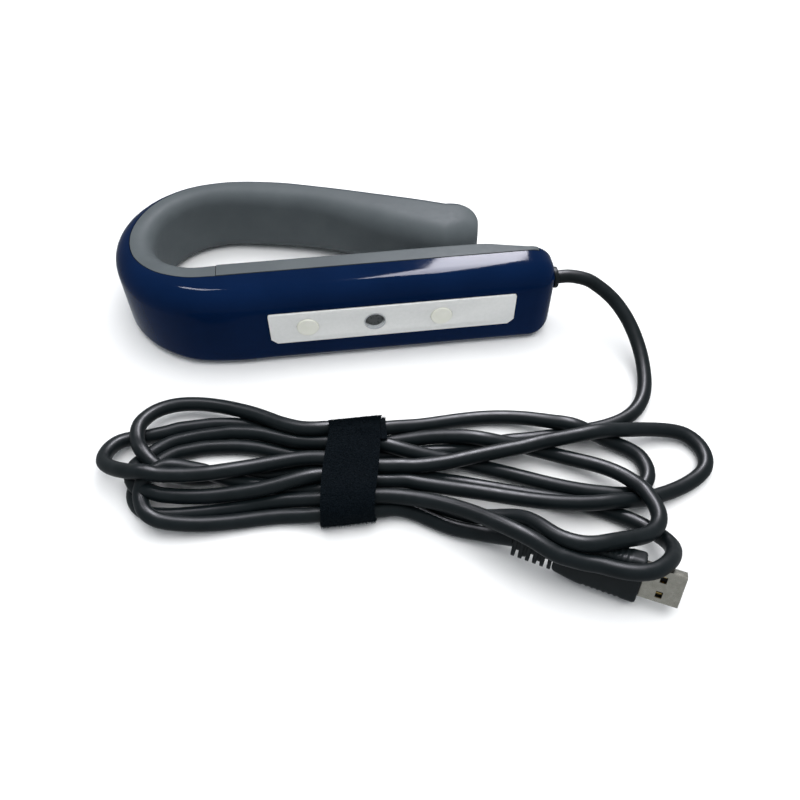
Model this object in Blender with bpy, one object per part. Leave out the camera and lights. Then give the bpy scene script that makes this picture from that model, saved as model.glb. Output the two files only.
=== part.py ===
"""Hand-held microchip scanner: a U-shaped reader with a three-button panel and a tied USB lead.

The design frame is in millimetres. Its origin is the middle of the button plate's face, +X runs
along the handle towards the lead, +Y runs from the button plate into the handle and +Z is up.
ORIGIN_SHIFT moves it to the part's own origin: the middle of the scanner's box, at its base.
"""
import math
from collections import namedtuple

import bmesh
import bpy
from mathutils import Matrix, Vector

MM = 0.001
GAP = 0.3
LAP = 1.0

# Scanner body
HANDLE_END_X = 67.4
HANDLE_ROUND_X = 57.6
LEFT_END_X = -112.5
BACK_Y = 88.5
HANDLE_DEPTH = 22.7
TOP_Z = 17.5
BASE_Z = -19.0
BACK_TOP = 12.5
HANDLE_TOP_ROUND = 9.0
BASE_ROUND_SHARE = 0.48
TIP_TOP = 11.0
TIP_BOTTOM = -14.5
WALL = 2.0
FRONT_Y = 0.6
BEND_START_X = -66.0
BEND_OUTER_CENTRE = (-68.0, 45.5)
BEND_INNER_CENTRE = (-70.0, 49.0)
BEND_INNER_RADIUS = 26.3
HANDLE_SPLIT = 15.4
SIDE_SPLIT = 7.5
BACK_SPLIT = 4.3
LINER_PARTING_X = -68.8
COVER_END_X = 61.5
COVER_PROUD = 0.2

# Button panel
PLATE_LENGTH = 100.0
PLATE_HEIGHT = 15.8
PLATE_THICKNESS = 1.2
PLATE_CORNER = 2.4
BUTTON_PITCH = 27.15
PANEL_CENTRE_X = -7.6
BUTTON_RADIUS = 4.23
BUTTON_TRAVEL = 0.8
BUTTON_PROUD = 0.5
CENTRE_RADIUS = 3.1
CENTRE_RECESS = 1.0
BEZEL_INNER_RADIUS = 3.45
FLANGE_THICKNESS = 1.0
FLANGE_LIP = 1.1

# Electronics
BOARD_FRONT_Y = 8.0
BOARD_THICKNESS = 1.6
BOARD_START_X = -58.0
BOARD_END_X = 29.0
BOARD_BOTTOM_Z = -11.5
BOARD_TOP_Z = 12.0
SWITCH_SIZE = 6.0
PLUNGER_RADIUS = 1.7
CORE_WIDTH = 6.0
CORE_HEIGHT = 4.0
COIL_WALL = 2.0

# Lead, strap and plug
CORD_DIAMETER = 5.6
LEAD_EXIT_Y = 11.4
LEAD_EXIT_Z = 5.2
GLAND_FLANGE_RADIUS = 4.4
GLAND_NECK_RADIUS = 3.6
GLAND_OUT_X = 69.5
HANK_HEIGHT = 12.0
STRAP_START_X = -12.0
STRAP_END_X = 8.5
STRAP_THICKNESS = 1.4
PLUG_CENTRE = (76.1, -156.6, 9.6)
PLUG_HEADING = -27.0
PLUG_LEAN = 62.0
PLUG_LENGTH = 28.5
PLUG_WIDTH = 17.0
PLUG_THICKNESS = 8.0
USB_LENGTH = 13.0
USB_WIDTH = 12.0
USB_HEIGHT = 4.5
USB_SHEET = 0.4
RELIEF_LENGTH = 14.0
RELIEF_RIBS = 5
RELIEF_START_WIDTH = 11.0
RELIEF_END_WIDTH = 13.0

# The box of the scanner without its lead runs from the bend to the gland's collar in X, and from the
# raised buttons to the back of the bend in Y.
ORIGIN_SHIFT = Vector((
    -(LEFT_END_X + GLAND_OUT_X) / 2,
    -(BACK_Y - BUTTON_PROUD) / 2,
    -BASE_Z,
))

# The lead's free stretch, from the gland down to the tied loops, and the short tail into the plug.
# Both are routes of the cord's centre line, in millimetres in the part's own frame.
LEAD_ROUTE = (
    (91.3, -32.6, 24.2),
    (95.6, -32.8, 24.4),
    (100.8, -34.0, 24.0),
    (107.0, -36.4, 22.3),
    (113.6, -40.4, 19.3),
    (119.4, -46.4, 15.2),
    (123.0, -54.4, 11.0),
    (124.6, -63.8, 7.2),
    (123.4, -73.4, 4.4),
    (119.9, -82.8, 3.0),
    (112.3, -91.9, 3.0),
)
TAIL_ROUTE = (
    (38.0, -134.9, 3.1),
    (41.9, -137.9, 4.8),
    (45.6, -140.8, 7.3),
    (49.7, -143.1, 9.4),
)

# Plan outline of the tied loops, through which the outline runs smoothly. It narrows at the strap.
HANK_OUTLINE = (
    (-12.0, -86.5), (-30.0, -78.5), (-50.0, -69.5), (-66.0, -66.5), (-80.0, -71.0), (-92.0, -80.0),
    (-95.0, -90.0), (-91.0, -99.5), (-85.5, -109.0), (-73.0, -119.5), (-58.0, -124.0),
    (-36.0, -122.5), (-12.0, -123.0), (8.5, -124.5), (22.0, -130.5), (32.0, -132.0), (44.0, -132.5),
    (56.0, -135.0), (70.0, -138.5), (86.0, -141.0), (100.0, -141.0), (112.0, -137.5), (125.0, -130.0),
    (133.0, -118.5), (131.5, -108.5), (122.0, -102.0), (114.0, -95.8), (108.4, -90.8), (96.0, -92.0),
    (80.0, -89.0), (62.0, -84.5), (44.0, -84.5), (26.0, -88.0), (8.5, -88.0),
)

Station = namedtuple("Station", "outer inner top bottom outer_round inner_round split steps")


# ---------------------------------------------------------------- scene and materials

def clear_scene():
    for item in list(bpy.data.objects):
        bpy.data.objects.remove(item, do_unlink=True)


def make_material(name, colour, roughness, metallic=0.0):
    material = bpy.data.materials.new(name)
    material.use_nodes = True
    shader = material.node_tree.nodes["Principled BSDF"]
    shader.inputs["Base Color"].default_value = (*colour, 1.0)
    shader.inputs["Roughness"].default_value = roughness
    shader.inputs["Metallic"].default_value = metallic
    material.diffuse_color = (*colour, 1.0)
    return material


def make_materials():
    return {
        "blue": make_material("blue_gloss", (0.006, 0.022, 0.095), 0.12),
        "grey": make_material("grey_satin", (0.19, 0.21, 0.21), 0.42),
        "plate": make_material("satin_aluminium", (0.68, 0.69, 0.68), 0.35, 0.9),
        "cream": make_material("cream_button", (0.66, 0.66, 0.60), 0.4),
        "dark": make_material("dark_button", (0.03, 0.035, 0.04), 0.35),
        "chrome": make_material("chrome", (0.80, 0.80, 0.80), 0.06, 1.0),
        "cable": make_material("black_cable", (0.010, 0.014, 0.018), 0.38),
        "strap": make_material("black_strap", (0.008, 0.011, 0.016), 0.9),
        "nickel": make_material("nickel_shell", (0.52, 0.49, 0.44), 0.28, 1.0),
        "board": make_material("circuit_board", (0.01, 0.12, 0.04), 0.4),
        "chip": make_material("chip_black", (0.015, 0.015, 0.015), 0.5),
        "steel": make_material("steel", (0.55, 0.55, 0.56), 0.3, 1.0),
        "copper": make_material("copper_winding", (0.60, 0.25, 0.10), 0.35, 1.0),
        "ferrite": make_material("ferrite", (0.03, 0.03, 0.032), 0.6),
        "gold": make_material("gold_contact", (0.75, 0.55, 0.20), 0.25, 1.0),
        "white": make_material("white_plastic", (0.75, 0.75, 0.72), 0.45),
    }


# ---------------------------------------------------------------- object helpers

def add_object(name, mesh_data, material, at=(0.0, 0.0, 0.0), turn=None):
    """Turn a bmesh in millimetres into a named object placed in the part's frame."""
    mesh_data.normal_update()
    bmesh.ops.recalc_face_normals(mesh_data, faces=mesh_data.faces)
    bmesh.ops.scale(mesh_data, vec=(MM, MM, MM), verts=mesh_data.verts)
    mesh = bpy.data.meshes.new(name)
    mesh_data.to_mesh(mesh)
    mesh_data.free()
    mesh.shade_smooth()
    mesh.set_sharp_from_angle(angle=math.radians(35.0))
    item = bpy.data.objects.new(name, mesh)
    if material is not None:
        mesh.materials.append(material)
    bpy.context.collection.objects.link(item)
    placed = Matrix.Translation((Vector(at) + ORIGIN_SHIFT) * MM)
    item.matrix_world = placed @ turn.to_4x4() if turn is not None else placed
    return item


def make_cutter(name, mesh_data, at=(0.0, 0.0, 0.0), turn=None):
    item = add_object(name, mesh_data, None, at, turn)
    item.hide_render = True
    item.display_type = "WIRE"
    return item


def apply_boolean(item, cutter, operation="DIFFERENCE"):
    modifier = item.modifiers.new(cutter.name, "BOOLEAN")
    modifier.operation = operation
    modifier.solver = "EXACT"
    modifier.object = cutter


def add_bevel(item, width, segments=2, angle=35.0):
    modifier = item.modifiers.new("edge_bevel", "BEVEL")
    modifier.width = width * MM
    modifier.segments = segments
    modifier.limit_method = "ANGLE"
    modifier.angle_limit = math.radians(angle)


# ---------------------------------------------------------------- curves through chosen points

def smooth_through(points, steps, closed=False):
    """Points on a smooth curve through the given ones, with a number of steps for each stretch."""
    rows = [Vector(point) for point in points]
    count = len(rows)
    spans = count if closed else count - 1
    step_list = [steps] * spans if isinstance(steps, int) else list(steps)

    def neighbour(index):
        if closed:
            return rows[index % count]
        if index < 0:
            return rows[0] * 2 - rows[1]
        if index >= count:
            return rows[-1] * 2 - rows[-2]
        return rows[index]

    def tangent(index):
        before, here, after = neighbour(index - 1), neighbour(index), neighbour(index + 1)
        first = max((here - before).length, 1e-6)
        second = max((after - here).length, 1e-6)
        slope_in = (here - before) / first
        slope_out = (after - here) / second
        return (slope_in * second + slope_out * first) / (first + second)

    curve = []
    for span in range(spans):
        start, end = neighbour(span), neighbour(span + 1)
        length = (end - start).length
        pull_start, pull_end = tangent(span) * length, tangent(span + 1) * length
        for step in range(step_list[span]):
            t = step / step_list[span]
            curve.append(
                start * (2 * t**3 - 3 * t**2 + 1) + pull_start * (t**3 - 2 * t**2 + t)
                + end * (3 * t**2 - 2 * t**3) + pull_end * (t**3 - t**2)
            )
    if not closed:
        curve.append(rows[-1])
    return curve


# ---------------------------------------------------------------- solid helpers

def loft(rings):
    """A closed solid through rings with equal point counts."""
    mesh_data = bmesh.new()
    loops = [[mesh_data.verts.new(point) for point in ring] for ring in rings]
    size = len(loops[0])
    for first, second in zip(loops, loops[1:]):
        for index in range(size):
            after = (index + 1) % size
            mesh_data.faces.new((first[index], first[after], second[after], second[index]))
    mesh_data.faces.new(list(reversed(loops[0])))
    mesh_data.faces.new(loops[-1])
    return mesh_data


def hollow_loft(outer_rings, inner_rings):
    """A sleeve: an outer and an inner skin joined at both ends."""
    mesh_data = bmesh.new()
    skins = []
    for rings in (outer_rings, inner_rings):
        skins.append([[mesh_data.verts.new(point) for point in ring] for ring in rings])
    size = len(outer_rings[0])
    for skin in skins:
        for first, second in zip(skin, skin[1:]):
            for index in range(size):
                after = (index + 1) % size
                mesh_data.faces.new((first[index], first[after], second[after], second[index]))
    for end in (0, -1):
        outer, inner = skins[0][end], skins[1][end]
        for index in range(size):
            after = (index + 1) % size
            mesh_data.faces.new((outer[index], outer[after], inner[after], inner[index]))
    return mesh_data


def box(size, centre=(0.0, 0.0, 0.0)):
    mesh_data = bmesh.new()
    bmesh.ops.create_cube(mesh_data, size=1.0)
    bmesh.ops.scale(mesh_data, vec=size, verts=mesh_data.verts)
    bmesh.ops.translate(mesh_data, vec=centre, verts=mesh_data.verts)
    return mesh_data


def span_box(x_range, y_range, z_range):
    size = [high - low for low, high in (x_range, y_range, z_range)]
    centre = [(high + low) / 2 for low, high in (x_range, y_range, z_range)]
    return box(size, centre)


def turned(profile, segments=32):
    """A solid of revolution about Y from (y, radius) pairs; both ends are closed by flat faces."""
    rings = []
    for y, radius in profile:
        ring = []
        for index in range(segments):
            angle = 2 * math.pi * index / segments
            ring.append((radius * math.cos(angle), y, radius * math.sin(angle)))
        rings.append(ring)
    return loft(rings)


def cylinder_y(radius, y_start, y_end, segments=32):
    return turned(((y_start, radius), (y_end, radius)), segments)


def prism(outline, z_low, z_high):
    return loft([[(x, y, z) for x, y in outline] for z in (z_low, z_high)])


def rounded_rectangle(width, height, radius, corner_steps=3):
    """Plan points of a rectangle with round corners, centred on the origin."""
    points = []
    for turn, (sign_x, sign_y) in enumerate(((1, 1), (-1, 1), (-1, -1), (1, -1))):
        centre_x = sign_x * (width / 2 - radius)
        centre_y = sign_y * (height / 2 - radius)
        for step in range(corner_steps + 1):
            angle = math.radians(90.0 * turn + 90.0 * step / corner_steps)
            points.append((centre_x + radius * math.cos(angle), centre_y + radius * math.sin(angle)))
    return points


# ---------------------------------------------------------------- body cross-sections

def lerp(start, end, share):
    return start + (end - start) * share


def body_stations():
    """Cross-sections from the handle's lead end, round the bend and out along the back arm."""
    stations = []

    def straight(x, inner_y, steps):
        stations.append(Station((x, FRONT_Y), (x, inner_y), TOP_Z, BASE_Z, HANDLE_TOP_ROUND, 2.0,
                                HANDLE_SPLIT - FRONT_Y, steps))

    straight(HANDLE_ROUND_X, 18.7, 1)
    straight(50.0, 20.3, 1)
    straight(40.0, 22.4, 1)
    straight(30.0, HANDLE_DEPTH, 1)
    straight(-10.0, HANDLE_DEPTH, 1)
    straight(-50.0, HANDLE_DEPTH, 1)
    straight(BEND_START_X, HANDLE_DEPTH, 3)

    outer_x, outer_y = BEND_OUTER_CENTRE
    inner_x, inner_y = BEND_INNER_CENTRE
    outer_reach = outer_x - LEFT_END_X
    for degrees in (22.5, 45.0, 67.5, 90.0, 112.5, 135.0, 157.5, 180.0):
        angle = math.radians(degrees)
        share = degrees / 180.0
        rise = outer_y - FRONT_Y if degrees <= 90.0 else BACK_Y - outer_y
        outer = (outer_x - outer_reach * math.sin(angle), outer_y - rise * math.cos(angle))
        inner = (inner_x - BEND_INNER_RADIUS * math.sin(angle),
                 inner_y - BEND_INNER_RADIUS * math.cos(angle))
        ease = share * share * (3 - 2 * share)
        side = math.sin(angle)
        if degrees <= 90.0:
            split = lerp(HANDLE_SPLIT - FRONT_Y, SIDE_SPLIT, math.sin(angle) ** 1.5)
        else:
            split = lerp(BACK_SPLIT, SIDE_SPLIT, math.sin(angle) ** 4)
        stations.append(Station(
            outer, inner, lerp(TOP_Z, BACK_TOP, ease), BASE_Z,
            lerp(HANDLE_TOP_ROUND, 7.0, share) + 1.5 * side,
            lerp(2.0, 10.0, share) + 4.0 * side, split, 3))

    arm = (
        ((-45.0, 86.1), (-50.0, 72.0), 12.4, -18.8, 2),
        ((-22.0, 80.0), (-28.0, 65.8), 12.1, -18.1, 2),
        ((2.0, 72.6), (-5.0, 53.6), 11.6, -16.9, 2),
        ((19.0, 67.2), (12.0, 44.0), 11.2, -15.5, 2),
        ((31.0, 62.7), (26.0, 37.6), TIP_TOP, TIP_BOTTOM, 1),
    )
    for outer, inner, top, bottom, steps in arm:
        stations.append(Station(outer, inner, top, bottom, 6.5, 10.0, BACK_SPLIT, steps))
    return stations


def sample_stations():
    """Evenly smoothed cross-section values: outer x, y, inner x, y, top, bottom, rounds and split."""
    stations = body_stations()
    rows = []
    for station in stations:
        rows.append((*station.outer, *station.inner, station.top, station.bottom,
                     station.outer_round, station.inner_round, station.split))
    return smooth_through(rows, [station.steps for station in stations[:-1]])


def section_ring(row, inset=0.0, shift=(0.0, 0.0), trim=(0.0, 0.0, 0.0), corner_steps=5):
    """One cross-section ring: a vertical section with four rounded corners.

    shift moves the section in plan, and trim draws in its outer side, inner side and height.
    """
    outer = Vector((row[0], row[1]))
    inner = Vector((row[2], row[3]))
    across = (inner - outer).normalized()
    outer = outer + across * (inset + trim[0]) + Vector(shift)
    inner = inner - across * (inset + trim[1]) + Vector(shift)
    width = (inner - outer).length
    top = row[4] - inset - trim[2]
    bottom = row[5] + inset + trim[2]
    limit = min(width, top - bottom) * 0.48
    outer_round = min(max(row[6] - inset, 0.6), limit)
    inner_round = min(max(row[7] - inset, 0.6), limit)
    base_round = outer_round * BASE_ROUND_SHARE
    corners = (
        (base_round, bottom + base_round, base_round, 270.0),
        (outer_round, top - outer_round, outer_round, 180.0),
        (width - inner_round, top - inner_round, inner_round, 90.0),
        (width - inner_round, bottom + inner_round, inner_round, 0.0),
    )
    ring = []
    for centre_u, centre_z, radius, start in corners:
        for step in range(corner_steps + 1):
            angle = math.radians(start - 90.0 * step / corner_steps)
            along = centre_u + radius * math.cos(angle)
            plan = outer + across * along
            ring.append((plan.x, plan.y, centre_z + radius * math.sin(angle)))
    return ring


def end_rings(row, inset, heading, reach, trim, steps=4):
    """Rings that round off an end: they move out along the heading and draw in."""
    rings = []
    for step in range(1, steps + 1):
        angle = math.radians(90.0 * step / steps)
        out = (reach - inset) * math.sin(angle)
        draw = 1.0 - math.cos(angle)
        shift = (heading[0] * out, heading[1] * out)
        rings.append(section_ring(row, inset, shift, [amount * draw for amount in trim]))
    return rings


def body_loft(samples, inset, proud=0.0):
    samples = [raised(row, proud) for row in samples]
    handle_end = end_rings(samples[0], inset, (1.0, 0.0), HANDLE_END_X - HANDLE_ROUND_X,
                           (8.2, 2.4, 7.0))
    tip_end = end_rings(samples[-1], inset, (1.0, 0.05), 15.2, (12.4, 4.0, 4.0))
    middle = [section_ring(row, inset) for row in samples]
    return loft(list(reversed(handle_end)) + middle + tip_end)


def raised(row, proud):
    """The same cross-section with its top and its inner side standing proud."""
    if not proud:
        return row
    outer, inner = Vector((row[0], row[1])), Vector((row[2], row[3]))
    inner += (inner - outer).normalized() * proud
    return (row[0], row[1], inner.x, inner.y, row[4] + proud, *row[5:])


def split_line(samples, shift):
    """The plan line between the blue shell and the grey liner, from the parting round to the tip.

    Its points lie midway between the body's sections, so no cut runs along a section's edges.
    """
    line = []
    for before, after in zip(samples, samples[1:]):
        row = (Vector(before) + Vector(after)) / 2
        outer = Vector((row[0], row[1]))
        inner = Vector((row[2], row[3]))
        point = outer + (inner - outer).normalized() * (row[8] + shift)
        if point.x < LINER_PARTING_X - 2.0 or point.y > 40.0:
            line.append((point.x, point.y))
    return line


def liner_outline(samples, shift, start_x):
    """Plan region of the liner: inside the split line, with its mouth closed across the U."""
    outline = [(start_x, HANDLE_SPLIT + shift)]
    outline += split_line(samples, shift)
    outline += [(38.0, 57.6 - shift), (46.0, 60.5 - shift), (60.0, 60.5), (60.0, 30.0)]
    outline.append((start_x, 30.0))
    return outline


def blue_cut_outline(samples):
    """Everything that isn't the blue shell: the liner and the handle cover with their gap."""
    outline = [(COVER_END_X + GAP, HANDLE_SPLIT - GAP)]
    outline += [(LINER_PARTING_X, HANDLE_SPLIT - GAP)]
    outline += split_line(samples, -GAP)
    outline += [(38.0, 57.6 + GAP), (46.0, 60.5 + GAP), (66.0, 60.5 + GAP), (66.0, 30.0)]
    outline += [(COVER_END_X + GAP, 30.0)]
    return outline


# ---------------------------------------------------------------- casing

BUTTON_CENTRES = [PANEL_CENTRE_X + index * BUTTON_PITCH for index in (-1, 0, 1)]
COVER_SCREWS = ((-63.0, -9.0), (34.0, -9.0))
BOARD_SCREWS = ((-50.0, 8.0), (6.0, -8.0))
CLAMP_X = 49.0
CLAMP_SCREWS = ((CLAMP_X, LEAD_EXIT_Z - 7.0), (CLAMP_X, LEAD_EXIT_Z + 7.0))
INNER_WALL_Y = FRONT_Y + WALL
POCKET_FLOOR_Y = PLATE_THICKNESS + GAP


def make_outer_shell(materials, samples):
    shell = add_object("outer_shell", body_loft(samples, 0.0), materials["blue"])
    cavity = make_cutter("cavity_of_outer_shell", body_loft(samples, WALL))
    apply_boolean(shell, cavity)
    grey_side = make_cutter("grey_side", prism(blue_cut_outline(samples), -25.0, 25.0))
    apply_boolean(shell, grey_side)

    posts = []
    for x, z in COVER_SCREWS:
        posts.append((x, z, 3.0, FRONT_Y + LAP, 17.5, 1.3, 6.0))
    for x, z in BOARD_SCREWS:
        posts.append((x, z, 2.4, 2.0, BOARD_FRONT_Y - GAP, 1.2, 3.4))
    for x, z in CLAMP_SCREWS:
        posts.append((x, z, 2.2, FRONT_Y + LAP, 7.6, 1.2, 3.6))
    for index, (x, z, radius, start, end, hole, hole_start) in enumerate(posts):
        post = make_cutter(f"post_{index}", cylinder_y(radius, start, end, 16), (x, 0.0, z))
        apply_boolean(shell, post, "UNION")
        pilot = make_cutter(f"pilot_{index}", cylinder_y(hole, hole_start, end + LAP, 12),
                            (x, 0.0, z))
        apply_boolean(shell, pilot)

    pocket = prism(plate_outline(GAP), -1.0, POCKET_FLOOR_Y)
    bmesh.ops.rotate(pocket, matrix=Matrix.Rotation(math.radians(90.0), 3, "X"),
                     verts=pocket.verts, cent=(0.0, 0.0, 0.0))
    bmesh.ops.scale(pocket, vec=(1.0, -1.0, 1.0), verts=pocket.verts)
    apply_boolean(shell, make_cutter("plate_pocket", pocket))
    for index, x in enumerate(BUTTON_CENTRES):
        hole = cylinder_y(BUTTON_RADIUS + GAP, -1.0, INNER_WALL_Y + LAP, 32)
        apply_boolean(shell, make_cutter(f"button_hole_{index}", hole, (x, 0.0, 0.0)))

    gland_hole = cylinder_y(GLAND_NECK_RADIUS + GAP, 54.6, 75.0, 24)
    lead_side = make_cutter("gland_hole", gland_hole, (0.0, LEAD_EXIT_Y, LEAD_EXIT_Z),
                            Matrix.Rotation(math.radians(-90.0), 3, "Z"))
    apply_boolean(shell, lead_side)
    return shell


def make_handle_cover(materials, samples):
    cover = add_object("handle_cover", body_loft(samples, 0.0, COVER_PROUD), materials["grey"])
    cavity = make_cutter("cavity_of_cover", body_loft(samples, WALL))
    apply_boolean(cover, cavity)
    low_x = LINER_PARTING_X + GAP / 2
    outline = ((low_x, HANDLE_SPLIT), (COVER_END_X, HANDLE_SPLIT), (COVER_END_X, 30.0), (low_x, 30.0))
    apply_boolean(cover, make_cutter("cover_region", prism(outline, -25.0, 25.0)), "INTERSECT")
    for index, (x, z) in enumerate(COVER_SCREWS):
        pillar = make_cutter(f"cover_pillar_{index}", cylinder_y(3.4, 17.8, HANDLE_DEPTH - LAP, 16),
                             (x, 0.0, z))
        apply_boolean(cover, pillar, "UNION")
        sink = turned(((16.0, 1.4), (19.8, 1.4), (19.8, 2.6), (24.0, 2.6)), 16)
        apply_boolean(cover, make_cutter(f"cover_sink_{index}", sink, (x, 0.0, z)))
    return cover


def make_inner_shell(materials, samples):
    liner = add_object("inner_shell", body_loft(samples, 0.0), materials["grey"])
    cavity = make_cutter("cavity_of_liner", body_loft(samples, WALL))
    apply_boolean(liner, cavity)
    outline = liner_outline(samples, 0.0, LINER_PARTING_X - GAP / 2)
    apply_boolean(liner, make_cutter("liner_region", prism(outline, -25.0, 25.0)), "INTERSECT")
    return liner


# ---------------------------------------------------------------- button panel

def plate_outline(grow):
    """The plate's outline with small top corners and clipped bottom corners, in X and Z."""
    half_x = PLATE_LENGTH / 2 + grow
    half_z = PLATE_HEIGHT / 2 + grow
    small = 0.8
    return (
        (-half_x + small, half_z), (half_x - small, half_z), (half_x, half_z - small),
        (half_x, -half_z + PLATE_CORNER), (half_x - PLATE_CORNER, -half_z),
        (-half_x + PLATE_CORNER, -half_z), (-half_x, -half_z + PLATE_CORNER),
        (-half_x, half_z - small),
    )


def make_plate(materials):
    slab = loft([[(x, y, z) for x, z in plate_outline(0.0)] for y in (0.0, PLATE_THICKNESS)])
    plate = add_object("button_plate", slab, materials["plate"])
    for index, x in enumerate(BUTTON_CENTRES):
        hole = cylinder_y(BUTTON_RADIUS + GAP, -LAP, PLATE_THICKNESS + LAP, 32)
        apply_boolean(plate, make_cutter(f"plate_hole_{index}", hole, (x, 0.0, 0.0)))


def button_profile(face_y, radius, flange_radius):
    """A cap with a soft edge and a flange that holds it behind the casing wall."""
    flange_y = INNER_WALL_Y + GAP
    return (
        (face_y, radius - 0.4), (face_y + 0.12, radius - 0.12), (face_y + 0.4, radius),
        (flange_y, radius), (flange_y, flange_radius), (flange_y + FLANGE_THICKNESS, flange_radius),
    )


def make_buttons(materials):
    side_profile = button_profile(-BUTTON_PROUD, BUTTON_RADIUS, BUTTON_RADIUS + FLANGE_LIP)
    for name, x in (("left_button", BUTTON_CENTRES[0]), ("right_button", BUTTON_CENTRES[2])):
        add_object(name, turned(side_profile), materials["cream"], (x, 0.0, 0.0))
    centre_profile = button_profile(CENTRE_RECESS, CENTRE_RADIUS, BUTTON_RADIUS + FLANGE_LIP)
    centre_x = BUTTON_CENTRES[1]
    add_object("centre_button", turned(centre_profile), materials["dark"], (centre_x, 0.0, 0.0))

    def ring(y, radius):
        steps = 32
        return [(radius * math.cos(2 * math.pi * k / steps), y, radius * math.sin(2 * math.pi * k / steps))
                for k in range(steps)]

    lip_y = -0.25
    back_y = INNER_WALL_Y
    outer = [ring(lip_y + 0.2, BUTTON_RADIUS), ring(back_y, BUTTON_RADIUS)]
    outer.insert(0, ring(lip_y, BUTTON_RADIUS - 0.2))
    inner = [ring(lip_y, BEZEL_INNER_RADIUS + 0.2), ring(lip_y + 0.2, BEZEL_INNER_RADIUS),
             ring(back_y, BEZEL_INNER_RADIUS)]
    add_object("centre_bezel", hollow_loft(outer, inner), materials["chrome"], (centre_x, 0.0, 0.0))


# ---------------------------------------------------------------- electronics

def make_switches(materials):
    body_front = BOARD_FRONT_Y - GAP - 2.1
    plunger_face = INNER_WALL_Y + GAP + FLANGE_THICKNESS + BUTTON_TRAVEL + 0.2
    for name, x in zip(("left_switch", "centre_switch", "right_switch"), BUTTON_CENTRES):
        half = SWITCH_SIZE / 2
        body = span_box((-half, half), (body_front, BOARD_FRONT_Y - GAP), (-half, half))
        switch = add_object(name, body, materials["chip"], (x, 0.0, 0.0))
        plunger = make_cutter(name + "_plunger",
                              cylinder_y(PLUNGER_RADIUS, plunger_face, body_front + LAP, 16),
                              (x, 0.0, 0.0))
        apply_boolean(switch, plunger, "UNION")


def make_board(materials):
    back_y = BOARD_FRONT_Y + BOARD_THICKNESS
    slab = span_box((BOARD_START_X, BOARD_END_X), (BOARD_FRONT_Y, back_y),
                    (BOARD_BOTTOM_Z, BOARD_TOP_Z))
    board = add_object("main_board", slab, materials["board"])
    for index, (x, z) in enumerate(BOARD_SCREWS):
        hole = cylinder_y(1.3, BOARD_FRONT_Y - LAP, back_y + LAP, 12)
        apply_boolean(board, make_cutter(f"board_hole_{index}", hole, (x, 0.0, z)))


def make_board_parts(materials):
    base_y = BOARD_FRONT_Y + BOARD_THICKNESS + GAP
    blocks = (
        ("processor_chip", "chip", (-16.0, -5.0), 1.4, (-5.5, 5.5)),
        ("reader_chip", "chip", (-42.0, -34.0), 1.6, (-4.0, 4.0)),
        ("crystal", "steel", (-29.0, -20.0), 3.4, (-9.5, -5.5)),
        ("cable_header", "white", (17.0, 25.0), 5.0, (-3.0, 10.0)),
        ("antenna_connector", "white", (-57.0, -51.0), 4.5, (-4.0, 3.0)),
    )
    for name, material, x_range, height, z_range in blocks:
        part = add_object(name, span_box(x_range, (base_y, base_y + height), z_range),
                          materials[material])
        add_bevel(part, 0.25, 1)
    buzzer = turned(((base_y, 5.0), (base_y + 4.3, 5.0), (base_y + 4.6, 4.7)), 24)
    add_object("buzzer", buzzer, materials["chip"], (-25.0, 0.0, 5.0))
    capacitor = turned(((base_y, 2.8), (base_y + 0.8, 2.8), (base_y + 1.1, 2.5), (base_y + 1.4, 2.8),
                        (base_y + 6.0, 2.8)), 20)
    add_object("capacitor", capacitor, materials["steel"], (11.5, 0.0, 6.0))


def make_antenna(materials, samples):
    """A ferrite bar along the bend and back arm, its winding, and the winding's lead wire."""
    first = next(index for index, row in enumerate(samples) if row[0] < -108.0)
    coil_start = next(index for index, row in enumerate(samples) if row[0] > -50.0 and row[1] > 60.0)
    coil_end = next(index for index, row in enumerate(samples) if row[0] > 0.0 and row[1] > 60.0)

    def bar_ring(row, width, height):
        outer, inner = Vector((row[0], row[1])), Vector((row[2], row[3]))
        across = (inner - outer).normalized()
        middle = (outer + inner) / 2
        level = (row[4] + row[5]) / 2
        ring = []
        for side, rise in ((-1, -1), (1, -1), (1, 1), (-1, 1)):
            plan = middle + across * (side * width / 2)
            ring.append((plan.x, plan.y, level + rise * height / 2))
        return ring

    core_rows = samples[first:-1]
    core = loft([bar_ring(row, CORE_WIDTH, CORE_HEIGHT) for row in core_rows])
    add_object("antenna_core", core, materials["ferrite"])
    coil_rows = samples[coil_start:coil_end + 1]
    grow = 2 * COIL_WALL
    outer = [bar_ring(row, CORE_WIDTH + grow, CORE_HEIGHT + grow) for row in coil_rows]
    inner = [bar_ring(row, CORE_WIDTH + 2 * GAP, CORE_HEIGHT + 2 * GAP) for row in coil_rows]
    add_object("antenna_coil", hollow_loft(outer, inner), materials["copper"])

    wire_offset = CORE_WIDTH / 2 + 0.9
    bend_rows = [row for index, row in enumerate(samples) if row[0] < -66.0 and index < coil_start]
    route = []
    for row in reversed(bend_rows[1::2]):
        outer_point, inner_point = Vector((row[0], row[1])), Vector((row[2], row[3]))
        across = (inner_point - outer_point).normalized()
        plan = (outer_point + inner_point) / 2 - across * wire_offset
        route.append((plan.x, plan.y, (row[4] + row[5]) / 2))
    connector_y = BOARD_FRONT_Y + BOARD_THICKNESS + GAP + 2.2
    route.append((-63.5, connector_y - 0.8, 0.0))
    route.append((BOARD_START_X + 0.7, connector_y, 0.0))
    shifted = [Vector(point) + ORIGIN_SHIFT for point in route]
    make_tube("antenna_lead", shifted, 1.0, materials["copper"], steps=2, resolution=1)


# ---------------------------------------------------------------- fasteners

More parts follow.
